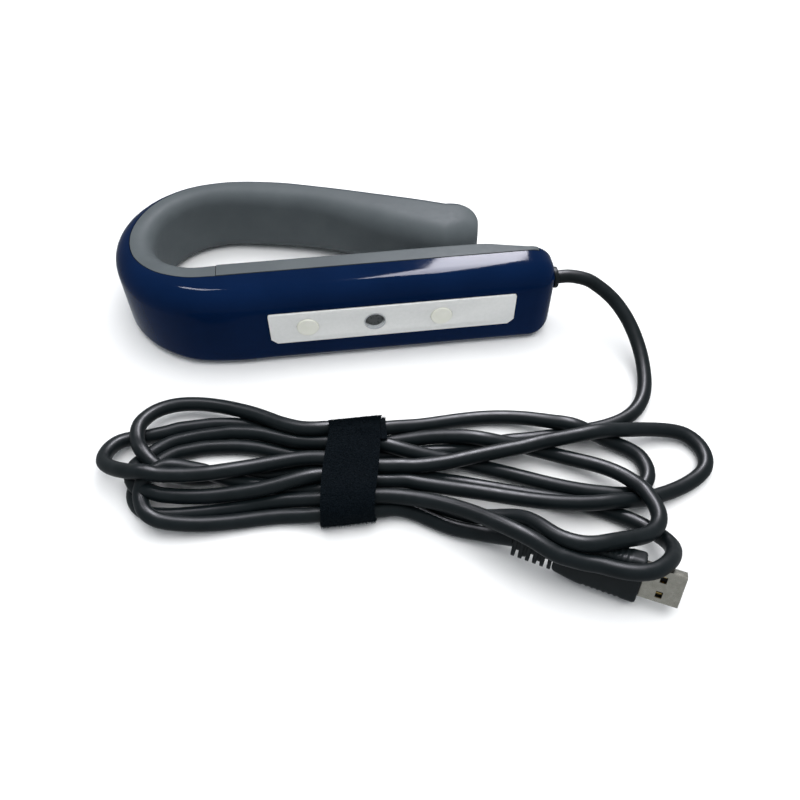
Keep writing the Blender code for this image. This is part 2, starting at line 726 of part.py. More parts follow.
def make_screw(name, x, z, seat_y, end_y, shaft_radius, head_radius, head_height, materials):
    profile = ((end_y, shaft_radius * 0.4), (end_y + 1.0, shaft_radius), (seat_y, shaft_radius),
               (seat_y, head_radius), (seat_y + head_height * 0.6, head_radius),
               (seat_y + head_height, head_radius * 0.7))
    screw = add_object(name, turned(profile, 16), materials["steel"], (x, 0.0, z))
    for index, size in enumerate(((head_radius * 1.1, 0.45), (0.45, head_radius * 1.1))):
        top = seat_y + head_height
        slot = span_box((-size[0] / 2, size[0] / 2), (top - 0.6, top + LAP), (-size[1] / 2, size[1] / 2))
        apply_boolean(screw, make_cutter(f"{name}_slot_{index}", slot, (x, 0.0, z)))


def make_screws(materials):
    for index, (x, z) in enumerate(COVER_SCREWS, 1):
        make_screw(f"cover_screw_{index}", x, z, 20.1, 8.0, 1.0, 2.2, 1.5, materials)
    seat_y = BOARD_FRONT_Y + BOARD_THICKNESS + GAP
    for index, (x, z) in enumerate(BOARD_SCREWS, 1):
        make_screw(f"board_screw_{index}", x, z, seat_y, 4.2, 0.9, 1.9, 1.2, materials)
    for index, (x, z) in enumerate(CLAMP_SCREWS, 1):
        make_screw(f"clamp_screw_{index}", x, z, 13.8, 4.6, 0.9, 1.9, 1.2, materials)


# ---------------------------------------------------------------- lead

def make_tube(name, route, diameter, material, steps=2, resolution=2):
    """A round tube along a smooth curve through the route, as a curve with a bevel."""
    data = bpy.data.curves.new(name, "CURVE")
    data.dimensions = "3D"
    data.bevel_depth = diameter / 2 * MM
    data.bevel_resolution = resolution
    data.use_fill_caps = True
    points = smooth_through(route, steps)
    spline = data.splines.new("POLY")
    spline.points.add(len(points) - 1)
    for target, point in zip(spline.points, points):
        target.co = (*(point * MM), 1.0)
    spline.use_smooth = True
    data.materials.append(material)
    item = bpy.data.objects.new(name, data)
    bpy.context.collection.objects.link(item)
    return item


def make_gland_and_clamp(materials):
    lip_start, lip_end = 56.4, 58.0
    profile = (
        (lip_start, GLAND_FLANGE_RADIUS), (lip_end, GLAND_FLANGE_RADIUS),
        (lip_end, GLAND_NECK_RADIUS), (HANDLE_END_X + GAP, GLAND_NECK_RADIUS),
        (HANDLE_END_X + GAP, GLAND_FLANGE_RADIUS), (GLAND_OUT_X - 0.4, GLAND_FLANGE_RADIUS),
        (GLAND_OUT_X, GLAND_FLANGE_RADIUS - 0.5),
    )
    along_x = Matrix.Rotation(math.radians(-90.0), 3, "Z")
    exit_axis = (0.0, LEAD_EXIT_Y, LEAD_EXIT_Z)
    add_object("cable_gland", turned(profile, 24), materials["cable"], exit_axis, along_x)

    low_z, high_z = LEAD_EXIT_Z - 9.4, LEAD_EXIT_Z + 9.4
    block = span_box((CLAMP_X - 3.0, CLAMP_X + 3.0), (7.9, 13.5), (low_z, high_z))
    clamp = add_object("cable_clamp", block, materials["white"])
    bore = cylinder_y(2.7, CLAMP_X - 5.0, CLAMP_X + 5.0, 20)
    apply_boolean(clamp, make_cutter("clamp_bore", bore, exit_axis, along_x))
    for index, (x, z) in enumerate(CLAMP_SCREWS):
        hole = cylinder_y(1.2, 6.0, 15.0, 12)
        apply_boolean(clamp, make_cutter(f"clamp_hole_{index}", hole, (x, 0.0, z)))

    inside = ((lip_start - GAP, LEAD_EXIT_Y, LEAD_EXIT_Z), (54.0, LEAD_EXIT_Y, LEAD_EXIT_Z),
              (42.0, LEAD_EXIT_Y, LEAD_EXIT_Z), (34.0, 11.4, LEAD_EXIT_Z), (25.6, 12.8, LEAD_EXIT_Z))
    route = [Vector(point) + ORIGIN_SHIFT for point in inside]
    make_tube("inner_cable", route, 4.8, materials["cable"], steps=2, resolution=2)


def make_hank(materials):
    outline = [(point.x, point.y) for point in smooth_through(HANK_OUTLINE, 2, closed=True)]
    hank = add_object("cord_hank", prism(outline, 0.0, HANK_HEIGHT), materials["cable"],
                      -ORIGIN_SHIFT)
    lift = STRAP_THICKNESS + GAP
    low_x, high_x = STRAP_START_X - GAP, STRAP_END_X + GAP
    under = span_box((low_x, high_x), (-140.0, -70.0), (-LAP, lift))
    apply_boolean(hank, make_cutter("strap_underpass", under, -ORIGIN_SHIFT))


def make_strap(materials):
    """The tie round the waist of the loops: a closed band with round corners."""
    inner_width, inner_height = 41.4, HANK_HEIGHT - STRAP_THICKNESS + GAP
    middle_y = -105.2
    middle_z = STRAP_THICKNESS + inner_height / 2

    def ring(x, grow):
        outline = rounded_rectangle(inner_width + 2 * grow, inner_height + 2 * grow, 2.0 + grow)
        return [(x, middle_y + y, middle_z + z) for y, z in outline]

    ends = (STRAP_START_X, STRAP_END_X)
    outer = [ring(x, STRAP_THICKNESS) for x in ends]
    inner = [ring(x, 0.0) for x in ends]
    add_object("cable_strap", hollow_loft(outer, inner), materials["strap"], -ORIGIN_SHIFT)


# ---------------------------------------------------------------- USB plug

def plug_turn():
    """Local X runs along the plug to its mouth, local Y across its width and local Z out of its face."""
    heading = Matrix.Rotation(math.radians(PLUG_HEADING), 3, "Z")
    lean = Matrix.Rotation(math.radians(PLUG_LEAN), 3, "X")
    return heading @ lean


def add_plug_part(name, mesh_data, material, at=(0.0, 0.0, 0.0)):
    turn = plug_turn()
    return add_object(name, mesh_data, material, Vector(PLUG_CENTRE) + turn @ Vector(at) - ORIGIN_SHIFT,
                      turn)


def make_plug(materials):
    half = PLUG_LENGTH / 2
    rings = []
    for x, width, height in ((-half, 12.0, 6.6), (-half + 3.0, 13.6, 7.6), (-half + 9.0, 15.6, 8.0),
                             (half - 1.0, PLUG_WIDTH, PLUG_THICKNESS), (half, PLUG_WIDTH - 1.2, 7.0)):
        rings.append([(x, y, z) for y, z in rounded_rectangle(width, height, 1.8)])
    add_plug_part("plug_body", loft(rings), materials["cable"])

    rings = []
    pitch = RELIEF_LENGTH / RELIEF_RIBS
    start_x = -half - GAP - RELIEF_LENGTH
    for index in range(RELIEF_RIBS):
        rib_width = lerp(RELIEF_START_WIDTH, RELIEF_END_WIDTH, index / (RELIEF_RIBS - 1))
        for share, width, height in ((0.0, rib_width, 6.4), (0.55, rib_width, 6.4),
                                     (0.62, 7.0, 6.0), (0.93, 7.0, 6.0)):
            ring = rounded_rectangle(width, height, 2.4)
            rings.append([(start_x + (index + share) * pitch, y, z) for y, z in ring])
    add_plug_part("plug_relief", loft(rings), materials["cable"])

    mouth = half + GAP
    ends = (mouth, mouth + USB_LENGTH)
    outer = [[(x, y, z) for y, z in rounded_rectangle(USB_WIDTH, USB_HEIGHT, 0.6, 2)] for x in ends]
    inner_width, inner_height = USB_WIDTH - 2 * USB_SHEET, USB_HEIGHT - 2 * USB_SHEET
    inner = [[(x, y, z) for y, z in rounded_rectangle(inner_width, inner_height, 0.3, 2)]
             for x in ends]
    usb = add_plug_part("plug_shell", hollow_loft(outer, inner), materials["nickel"])
    for index, y in enumerate((-2.9, 2.9)):
        window = box((2.2, 2.4, 3.0), (mouth + 6.2, y, USB_HEIGHT / 2))
        turn = plug_turn()
        cutter = make_cutter(f"usb_window_{index}", window, Vector(PLUG_CENTRE) - ORIGIN_SHIFT, turn)
        apply_boolean(usb, cutter)

    tongue_top = 0.1
    tongue = span_box((mouth, mouth + USB_LENGTH - 1.4), (-5.2, 5.2), (-1.5, tongue_top))
    add_plug_part("plug_tongue", tongue, materials["chip"])
    for index, y in enumerate((-3.5, -1.0, 1.0, 3.5), 1):
        contact = span_box((mouth + 3.0, mouth + USB_LENGTH - 2.2), (y - 0.5, y + 0.5),
                           (tongue_top + GAP, tongue_top + GAP + 0.25))
        add_plug_part(f"plug_contact_{index}", contact, materials["gold"])


# ---------------------------------------------------------------- assembly

def main():
    clear_scene()
    materials = make_materials()
    samples = sample_stations()
    make_outer_shell(materials, samples)
    make_handle_cover(materials, samples)
    make_inner_shell(materials, samples)
    make_plate(materials)
    make_buttons(materials)
    make_switches(materials)
    make_board(materials)
    make_board_parts(materials)
    make_antenna(materials, samples)
    make_screws(materials)
    make_gland_and_clamp(materials)
    make_tube("cord_lead", LEAD_ROUTE, CORD_DIAMETER, materials["cable"])
    make_hank(materials)
    make_tube("cord_tail", TAIL_ROUTE, CORD_DIAMETER, materials["cable"])
    make_strap(materials)
    make_plug(materials)


main()
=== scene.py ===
"""Looks of the hand-held microchip scanner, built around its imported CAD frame.

Shapes are worked out in millimetres. The design frame has its origin in the middle of the button
plate's face, and SHIFT moves it to the part's frame. The lead's route is in the part's frame.
"""
import math
import random

import bmesh
import bpy
import numpy as np
from mathutils import Matrix, Vector


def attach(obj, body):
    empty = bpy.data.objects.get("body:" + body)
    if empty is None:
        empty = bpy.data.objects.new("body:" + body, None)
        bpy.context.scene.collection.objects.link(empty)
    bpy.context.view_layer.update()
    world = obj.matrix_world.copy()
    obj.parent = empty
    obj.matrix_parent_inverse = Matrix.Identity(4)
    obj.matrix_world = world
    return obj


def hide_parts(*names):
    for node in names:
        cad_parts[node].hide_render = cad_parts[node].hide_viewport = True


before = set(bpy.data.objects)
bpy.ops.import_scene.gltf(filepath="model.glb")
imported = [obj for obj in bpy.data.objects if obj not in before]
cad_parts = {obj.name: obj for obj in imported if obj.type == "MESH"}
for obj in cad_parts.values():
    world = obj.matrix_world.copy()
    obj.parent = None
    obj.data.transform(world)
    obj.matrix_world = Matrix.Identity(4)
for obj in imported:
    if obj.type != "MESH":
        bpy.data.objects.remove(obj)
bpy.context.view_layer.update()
ROOT = "scanner"
MM = 0.001
SHIFT = Vector((21.5, -44.0, 19.0))
EYE = (-4.692, -275.44, 249.771)

# ---------------------------------------------------------------- camera

camera_data = bpy.data.cameras.new("camera")
camera_data.sensor_width = 36.0
camera_data.lens = 36.242
camera_data.clip_start = 0.01
camera = bpy.data.objects.new("camera", camera_data)
camera.location = Vector(EYE) * MM
camera.rotation_euler = (math.radians(39.569), 0.0, math.radians(-7.071))
bpy.context.scene.collection.objects.link(camera)
bpy.context.scene.camera = camera

# ---------------------------------------------------------------- materials

def texture(tree, point, kind, scale, stretch=(1.0, 1.0, 1.0), detail=4.0):
    """A procedural pattern's value, in object space, with that many features to the metre."""
    nodes, links = tree.nodes, tree.links
    mapping = nodes.new("ShaderNodeMapping")
    mapping.inputs["Scale"].default_value = stretch
    links.new(point, mapping.inputs["Vector"])
    if kind == "noise":
        node = nodes.new("ShaderNodeTexNoise")
        node.inputs["Detail"].default_value = detail
        output = node.outputs["Fac"]
    elif kind == "cells":
        node = nodes.new("ShaderNodeTexVoronoi")
        output = node.outputs["Distance"]
    else:
        node = nodes.new("ShaderNodeTexWave")
        node.inputs["Distortion"].default_value = 1.5
        output = node.outputs["Fac"]
    node.inputs["Scale"].default_value = scale
    links.new(mapping.outputs["Vector"], node.inputs["Vector"])
    return output


def make_look(name, colours, roughness, colour_scale=60.0, rough_scale=150.0, bumps=(), stretch=(1, 1, 1),
              **values):
    """A Principled material: two colours and two roughnesses mixed by patterns, over layers of bump."""
    material = bpy.data.materials.new(name)
    material.use_nodes = True
    tree = material.node_tree
    nodes, links = tree.nodes, tree.links
    shader = nodes["Principled BSDF"]
    for socket, value in values.items():
        shader.inputs[socket.replace("_", " ")].default_value = value
    point = nodes.new("ShaderNodeTexCoord").outputs["Object"]

    ramp = nodes.new("ShaderNodeValToRGB")
    ramp.color_ramp.elements[0].position = 0.32
    ramp.color_ramp.elements[1].position = 0.68
    for element, colour in zip(ramp.color_ramp.elements, colours):
        element.color = (*colour, 1.0)
    links.new(texture(tree, point, "noise", colour_scale, stretch), ramp.inputs["Fac"])
    links.new(ramp.outputs["Color"], shader.inputs["Base Color"])
    material.diffuse_color = (*colours[0], 1.0)

    spread = nodes.new("ShaderNodeMapRange")
    spread.inputs["From Min"].default_value = 0.3
    spread.inputs["From Max"].default_value = 0.7
    spread.inputs["To Min"].default_value = roughness[0]
    spread.inputs["To Max"].default_value = roughness[1]
    links.new(texture(tree, point, "noise", rough_scale, stretch, 6.0), spread.inputs["Value"])
    links.new(spread.outputs["Result"], shader.inputs["Roughness"])

    previous = None
    for kind, scale, strength, height, pull in bumps:
        bump = nodes.new("ShaderNodeBump")
        bump.inputs["Strength"].default_value = strength
        bump.inputs["Distance"].default_value = height * MM
        links.new(texture(tree, point, kind, scale, pull), bump.inputs["Height"])
        if previous:
            links.new(previous.outputs["Normal"], bump.inputs["Normal"])
        previous = bump
    if previous:
        links.new(previous.outputs["Normal"], shader.inputs["Normal"])
    return material


EVEN = (1.0, 1.0, 1.0)
ALONG_X = (0.04, 1.0, 1.0)
LOOKS = {
    "blue": make_look(
        "blue_gloss", ((0.0014, 0.0088, 0.036), (0.0020, 0.0112, 0.045)), (0.06, 0.09), 40, 220,
        bumps=(("noise", 260, 0.05, 0.05, EVEN), ("noise", 2600, 0.03, 0.01, EVEN)), IOR=1.33,
        Specular_IOR_Level=0.08),
    "grey": make_look(
        "grey_satin", ((0.083, 0.095, 0.102), (0.095, 0.109, 0.116)), (0.46, 0.56), 70, 500,
        bumps=(("noise", 3200, 0.16, 0.03, EVEN), ("noise", 500, 0.06, 0.05, EVEN)), IOR=1.45,
        Specular_IOR_Level=0.06),
    "plate": make_look(
        "satin_aluminium", ((0.86, 0.865, 0.84), (0.90, 0.90, 0.88)), (0.40, 0.52), 700, 1400,
        bumps=(("noise", 7000, 0.12, 0.006, EVEN), ("noise", 2600, 0.08, 0.006, ALONG_X)),
        Metallic=0.15, IOR=1.5),
    "cream": make_look(
        "cream_button", ((0.84, 0.84, 0.74), (0.88, 0.875, 0.79)), (0.34, 0.44), 260, 600,
        bumps=(("noise", 3500, 0.10, 0.02, EVEN),), IOR=1.45),
    "dark": make_look(
        "dark_button", ((0.050, 0.055, 0.055), (0.070, 0.076, 0.075)), (0.24, 0.36), 400, 900,
        bumps=(("noise", 3500, 0.10, 0.02, EVEN),), IOR=1.5),
    "chrome": make_look(
        "chrome_ring", ((0.88, 0.89, 0.88), (0.94, 0.94, 0.93)), (0.16, 0.26), 300, 900,
        bumps=(("noise", 1200, 0.04, 0.01, EVEN),), Metallic=1.0),
    "cable": make_look(
        "cable_jacket", ((0.0035, 0.0060, 0.0070), (0.0058, 0.0088, 0.0102)), (0.34, 0.44), 120, 420,
        bumps=(("noise", 2400, 0.14, 0.03, EVEN), ("noise", 300, 0.08, 0.10, EVEN)), IOR=1.45,
        Specular_IOR_Level=0.20),
    "overmould": make_look(
        "plug_overmould", ((0.0035, 0.0058, 0.0068), (0.0060, 0.0090, 0.0100)), (0.42, 0.56), 200, 800,
        bumps=(("noise", 3800, 0.22, 0.03, EVEN), ("noise", 500, 0.08, 0.08, EVEN)), IOR=1.45,
        Specular_IOR_Level=0.30),
    "strap": make_look(
        "strap_fabric", ((0.0012, 0.0026, 0.0042), (0.0040, 0.0064, 0.0088)), (0.85, 1.0), 1500, 900,
        bumps=(("cells", 1500, 0.9, 0.5, EVEN), ("noise", 3500, 0.6, 0.25, EVEN)),
        Sheen_Weight=0.01, Sheen_Roughness=0.5, IOR=1.3, Specular_IOR_Level=0.04),
    "fibre": make_look(
        "strap_fibre", ((0.0018, 0.0036, 0.0052), (0.0060, 0.0100, 0.0130)), (0.8, 0.95), 2500, 900,
        bumps=(("noise", 5000, 0.2, 0.02, EVEN),), IOR=1.3, Specular_IOR_Level=0.05),
    "nickel": make_look(
        "nickel_shell", ((0.42, 0.40, 0.34), (0.52, 0.495, 0.43)), (0.22, 0.34), 500, 700,
        bumps=(("noise", 4200, 0.10, 0.01, ALONG_X),), Metallic=1.0),
    "black": make_look(
        "black_plastic", ((0.010, 0.010, 0.011), (0.018, 0.018, 0.019)), (0.42, 0.56), 400, 900,
        bumps=(("noise", 3000, 0.15, 0.03, EVEN),), IOR=1.5),
    "board": make_look(
        "circuit_board", ((0.006, 0.085, 0.026), (0.012, 0.125, 0.040)), (0.28, 0.42), 500, 900,
        bumps=(("cells", 900, 0.15, 0.03, EVEN),), IOR=1.5),
    "steel": make_look(
        "screw_steel", ((0.48, 0.48, 0.49), (0.60, 0.60, 0.61)), (0.22, 0.38), 900, 1500,
        bumps=(("noise", 5000, 0.12, 0.01, EVEN),), Metallic=1.0),
    "white": make_look(
        "white_plastic", ((0.66, 0.66, 0.62), (0.74, 0.74, 0.70)), (0.36, 0.5), 300, 900,
        bumps=(("noise", 3000, 0.10, 0.02, EVEN),), IOR=1.46),
    "copper": make_look(
        "copper_winding", ((0.52, 0.20, 0.075), (0.66, 0.29, 0.12)), (0.25, 0.38), 800, 1200,
        bumps=(("bands", 1100, 0.8, 0.15, EVEN),), Metallic=1.0),
    "gold": make_look(
        "gold_contact", ((0.70, 0.48, 0.16), (0.80, 0.58, 0.24)), (0.18, 0.30), 800, 1500,
        bumps=(("noise", 5000, 0.10, 0.01, ALONG_X),), Metallic=1.0),
}

NODE_LOOKS = {
    "outer_shell": "blue", "handle_cover": "grey", "inner_shell": "grey", "button_plate": "plate",
    "left_button": "cream", "right_button": "cream", "centre_button": "dark", "centre_bezel": "chrome",
    "main_board": "board", "crystal": "steel", "capacitor": "steel", "antenna_coil": "copper",
    "antenna_lead": "copper", "cable_header": "white", "antenna_connector": "white",
    "cable_clamp": "white", "cable_gland": "cable", "inner_cable": "cable", "cord_lead": "cable",
    "cord_hank": "cable", "cord_tail": "cable", "cable_strap": "strap", "plug_body": "overmould",
    "plug_relief": "overmould", "plug_shell": "nickel",
}


def look_of(node):
    if node in NODE_LOOKS:
        return NODE_LOOKS[node]
    if "screw" in node:
        return "steel"
    if node.startswith("plug_contact"):
        return "gold"
    return "black"


for node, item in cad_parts.items():
    item.data.materials.clear()
    item.data.materials.append(LOOKS[look_of(node)])

# ---------------------------------------------------------------- mesh helpers

def lerp(start, end, share):
    return start + (end - start) * share


def curve_through(points, steps):
    """Points on a smooth curve through the given ones, with a number of steps for each stretch."""
    rows = [Vector(point) for point in points]
    step_list = [steps] * (len(rows) - 1) if isinstance(steps, int) else list(steps)
    rows = [rows[0] * 2 - rows[1]] + rows + [rows[-1] * 2 - rows[-2]]

    def tangent(index):
        before, here, after = rows[index - 1:index + 2]
        first = max((here - before).length, 1e-6)
        second = max((after - here).length, 1e-6)
        return ((here - before) / first * second + (after - here) / second * first) / (first + second)

    curve = []
    for span, count in enumerate(step_list, 1):
        start, end = rows[span], rows[span + 1]
        reach = (end - start).length
        pull_start, pull_end = tangent(span) * reach, tangent(span + 1) * reach
        for step in range(count):
            t = step / count
            curve.append(
                start * (2 * t**3 - 3 * t**2 + 1) + pull_start * (t**3 - 2 * t**2 + t)
                + end * (3 * t**2 - 2 * t**3) + pull_end * (t**3 - t**2))
    curve.append(rows[-2])
    return curve


def loft(rings, closed=False):
    """A solid through rings with equal point counts; closed joins the last ring to the first."""
    data = bmesh.new()
    loops = [[data.verts.new(point) for point in ring] for ring in rings]
    pairs = list(zip(loops, loops[1:]))
    if closed:
        pairs.append((loops[-1], loops[0]))
    for first, second in pairs:
        for index in range(len(first)):
            after = (index + 1) % len(first)
            data.faces.new((first[index], first[after], second[after], second[index]))
    if not closed:
        data.faces.new(list(reversed(loops[0])))
        data.faces.new(loops[-1])
    return data


def turned(profile, segments=96):
    """A solid of revolution about Y from (y, radius) pairs; its ends close at the axis."""
    rings = []
    for y, radius in profile:
        angles = [2 * math.pi * index / segments for index in range(segments)]
        rings.append([(radius * math.cos(angle), y, radius * math.sin(angle)) for angle in angles])
    return loft(rings)


def slab_y(outline, y_start, y_end):
    return loft([[(x, y, z) for x, z in outline] for y in (y_start, y_end)])


def prism(outline, z_low, z_high):
    return loft([[(x, y, z) for x, y in outline] for z in (z_low, z_high)])


def rounded_box_ring(x, width, height, radius, steps=6):
    ring = []
    for quarter, (sign_y, sign_z) in enumerate(((1, 1), (-1, 1), (-1, -1), (1, -1))):
        for step in range(steps + 1):
            angle = math.radians(90.0 * (quarter + step / steps))
            ring.append((x, sign_y * (width / 2 - radius) + radius * math.cos(angle),
                         sign_z * (height / 2 - radius) + radius * math.sin(angle)))
    return ring


def make_piece(name, data, look, at=SHIFT, turn=None, sharp=35.0):
    """An object from a bmesh in millimetres, moved and turned within its mesh."""
    bmesh.ops.recalc_face_normals(data, faces=data.faces)
    place = Matrix.Translation(Vector(at))
    if turn is not None:
        place = place @ turn.to_4x4()
    data.transform(Matrix.Scale(MM, 4) @ place)
    mesh = bpy.data.meshes.new(name)
    data.to_mesh(mesh)
    data.free()
    item = bpy.data.objects.new(name, mesh)
    mesh.materials.append(LOOKS[look])
    bpy.context.scene.collection.objects.link(item)
    finish_mesh(item, sharp)
    return item


def finish_mesh(item, sharp=35.0):
    item.data.shade_smooth()
    item.data.set_sharp_from_angle(angle=math.radians(sharp))


def carve(item, cutter, operation="DIFFERENCE"):
    """Cut one piece with another and drop the cutter."""
    modifier = item.modifiers.new("carve", "BOOLEAN")
    modifier.operation = operation
    modifier.solver = "EXACT"
    modifier.object = cutter
    apply_modifiers(item)
    bpy.data.objects.remove(cutter)


def apply_modifiers(item):
    graph = bpy.context.evaluated_depsgraph_get()
    mesh = bpy.data.meshes.new_from_object(item.evaluated_get(graph), depsgraph=graph)
    item.modifiers.clear()
    item.data = mesh


def bevel(item, width, segments=3, angle=35.0):
    modifier = item.modifiers.new("bevel", "BEVEL")
    modifier.width = width * MM
    modifier.segments = segments
    modifier.limit_method = "ANGLE"
    modifier.angle_limit = math.radians(angle)
    modifier.harden_normals = True
    apply_modifiers(item)


def stands_for(item, body, slot, *nodes):
    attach(item, body)
    if nodes:
        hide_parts(*nodes)
    return item


# ---------------------------------------------------------------- casing sections

HANDLE_END_X = 67.4
HANDLE_ROUND_X = 57.6
LEFT_END_X = -112.5
BACK_Y = 88.5
HANDLE_DEPTH = 22.7
TOP_Z = 17.5
BASE_Z = -19.0
BACK_TOP = 12.5
WALL = 2.0
FRONT_Y = 0.6
GAP = 0.3
BEND_START_X = -66.0
BEND_OUTER = (-68.0, 45.5)
BEND_INNER = (-70.0, 49.0)
BEND_RADIUS = 26.3
HANDLE_SPLIT = 15.4
SIDE_SPLIT = 7.5
BACK_SPLIT = 4.3
HANDLE_OUTER_ROUND = 9.0
HANDLE_INNER_ROUND = 2.0
BEND_END_ROUND = 7.0
ARM_OUTER_ROUND = 6.5
ARM_INNER_ROUND = 10.0
SIDE_OUTER_EXTRA = 1.5
SIDE_INNER_EXTRA = 4.0
LARGEST_ROUND_SHARE = 0.48
BASE_ROUND_SHARE = 0.48
LEAD_END_TRIM = (8.2, 2.4, 7.0)
TIP_HEADING = (1.0, 0.05)
TIP_REACH = 15.2
TIP_TRIM = (12.4, 4.0, 4.0)
CUT_REACH = 25.0
PARTING_X = -68.8
COVER_END_X = 61.5
COVER_PROUD = 0.2
FINER = 4


def section_rows():
    """Cross-section values from the lead end, round the bend and out along the back arm.

    Each row is outer x, y, inner x, y, top, bottom, outer round, inner round and split.
    """
    rows, steps = [], []
    straight = ((57.6, 18.7), (50.0, 20.3), (40.0, 22.4), (30.0, HANDLE_DEPTH), (-10.0, HANDLE_DEPTH),
                (-50.0, HANDLE_DEPTH), (BEND_START_X, HANDLE_DEPTH))
    for x, inner_y in straight:
        rows.append((x, FRONT_Y, x, inner_y, TOP_Z, BASE_Z, HANDLE_OUTER_ROUND, HANDLE_INNER_ROUND,
                     HANDLE_SPLIT - FRONT_Y))
        steps.append(3 if x == BEND_START_X else 1)
    for degrees in (22.5, 45.0, 67.5, 90.0, 112.5, 135.0, 157.5, 180.0):
        angle = math.radians(degrees)
        side, share = math.sin(angle), degrees / 180.0
        rise = BEND_OUTER[1] - FRONT_Y if degrees <= 90.0 else BACK_Y - BEND_OUTER[1]
        first_split = HANDLE_SPLIT - FRONT_Y if degrees <= 90.0 else BACK_SPLIT
        rows.append((
            BEND_OUTER[0] - (BEND_OUTER[0] - LEFT_END_X) * side,
            BEND_OUTER[1] - rise * math.cos(angle),
            BEND_INNER[0] - BEND_RADIUS * side, BEND_INNER[1] - BEND_RADIUS * math.cos(angle),
            lerp(TOP_Z, BACK_TOP, share * share * (3 - 2 * share)), BASE_Z,
            lerp(HANDLE_OUTER_ROUND, BEND_END_ROUND, share) + SIDE_OUTER_EXTRA * side,
            lerp(HANDLE_INNER_ROUND, ARM_INNER_ROUND, share) + SIDE_INNER_EXTRA * side,
            lerp(first_split, SIDE_SPLIT, side ** (1.5 if degrees <= 90.0 else 4.0))))
        steps.append(3)
    arm = (
        ((-45.0, 86.1), (-50.0, 72.0), 12.4, -18.8), ((-22.0, 80.0), (-28.0, 65.8), 12.1, -18.1),
        ((2.0, 72.6), (-5.0, 53.6), 11.6, -16.9), ((19.0, 67.2), (12.0, 44.0), 11.2, -15.5),
        ((31.0, 62.7), (26.0, 37.6), 11.0, -14.5))
    for outer, inner, top, bottom in arm:
        rows.append((*outer, *inner, top, bottom, ARM_OUTER_ROUND, ARM_INNER_ROUND, BACK_SPLIT))
        steps.append(2)
    return curve_through(rows, [count * FINER for count in steps[:-1]])


def section_ring(row, inset=0.0, shift=(0.0, 0.0), trim=(0.0, 0.0, 0.0), corner_steps=10):
    """One cross-section as points; trim draws in its outer side, its inner side and its height."""
    outer, inner = Vector((row[0], row[1])), Vector((row[2], row[3]))
    across = (inner - outer).normalized()
    outer = outer + across * (inset + trim[0]) + Vector(shift)
    inner = inner - across * (inset + trim[1]) + Vector(shift)
    width = (inner - outer).length
    top, bottom = row[4] - inset - trim[2], row[5] + inset + trim[2]
    limit = min(width, top - bottom) * LARGEST_ROUND_SHARE
    outer_round = min(max(row[6] - inset, 0.6), limit)
    inner_round = min(max(row[7] - inset, 0.6), limit)
    base_round = outer_round * BASE_ROUND_SHARE
    corners = (
        (base_round, bottom + base_round, base_round, 270.0),
        (outer_round, top - outer_round, outer_round, 180.0),
        (width - inner_round, top - inner_round, inner_round, 90.0),
        (width - inner_round, bottom + inner_round, inner_round, 0.0))
    ring = []
    for centre_u, centre_z, radius, start in corners:
        for step in range(corner_steps + 1):
            angle = math.radians(start - 90.0 * step / corner_steps)
            plan = outer + across * (centre_u + radius * math.cos(angle))
            ring.append((plan.x, plan.y, centre_z + radius * math.sin(angle)))
    return ring


def end_rings(row, inset, heading, reach, trim, steps=14):
    """Sections that close an end of the casing in a quarter ellipse."""
    rings = []
    for step in range(1, steps + 1):
        angle = math.radians(90.0 * step / steps)
        out, draw = (reach - inset) * math.sin(angle), 1.0 - math.cos(angle)
        shift = (heading[0] * out, heading[1] * out)
        rings.append(section_ring(row, inset, shift, [amount * draw for amount in trim]))
    return rings


def raised(row, proud):
    """A section that stands proud on its inner side and its top."""
    outer, inner = Vector((row[0], row[1])), Vector((row[2], row[3]))
    inner += (inner - outer).normalized() * proud
    return (row[0], row[1], inner.x, inner.y, row[4] + proud, *row[5:])


def casing_loft(rows, inset, proud=0.0):
    rows = [raised(row, proud) for row in rows]
    lead_end = end_rings(rows[0], inset, (1.0, 0.0), HANDLE_END_X - HANDLE_ROUND_X, LEAD_END_TRIM)
    tip_end = end_rings(rows[-1], inset, TIP_HEADING, TIP_REACH, TIP_TRIM)
    return loft(list(reversed(lead_end)) + [section_ring(row, inset) for row in rows] + tip_end)


def split_line(rows, shift):
    """The line in plan where blue meets grey, round the bend and out along the back arm."""
    line = []
    for before, after in zip(rows, rows[1:]):
        row = (Vector(before) + Vector(after)) / 2
        outer, inner = Vector((row[0], row[1])), Vector((row[2], row[3]))
        point = outer + (inner - outer).normalized() * (row[8] + shift)
        if point.x < PARTING_X - 2.0 or point.y > 40.0:
            line.append((point.x, point.y))
    return line


# ---------------------------------------------------------------- casing

ROWS = section_rows()
BUTTON_XS = (-34.75, -7.6, 19.55)
BUTTON_RADIUS = 4.23
CAP_RADIUS = 4.4
CAP_EDGE = 0.48
CAP_FACE_Y = -0.5
FLANGE_RADIUS = 5.33
FLANGE_YS = (2.9, 3.9)
AXIS_RADIUS = 0.02
PLATE_THICKNESS = 1.2
LEAD_EXIT = (11.4, 5.2)
LEVEL_X = Matrix.Rotation(math.radians(-90.0), 3, "Z")


def plate_outline(grow, corner_steps=6):
    """The plate's outline in X and Z: small round top corners and clipped bottom corners."""
    half_x, half_z, small, clip = 50.0 + grow, 7.9 + grow, 1.1, 2.4
    outline = []
    for side, first in ((1, 0), (-1, 90)):
        for step in range(corner_steps + 1):
            angle = math.radians(first + 90.0 * step / corner_steps)
            outline.append((side * (half_x - small) + small * math.cos(angle),
                            half_z - small + small * math.sin(angle)))
    return outline + [(-half_x, -half_z + clip), (-half_x + clip, -half_z), (half_x - clip, -half_z),
                      (half_x, -half_z + clip)]


def cutter(name, data, at=SHIFT, turn=None):
    return make_piece(name, data, "black", at, turn)


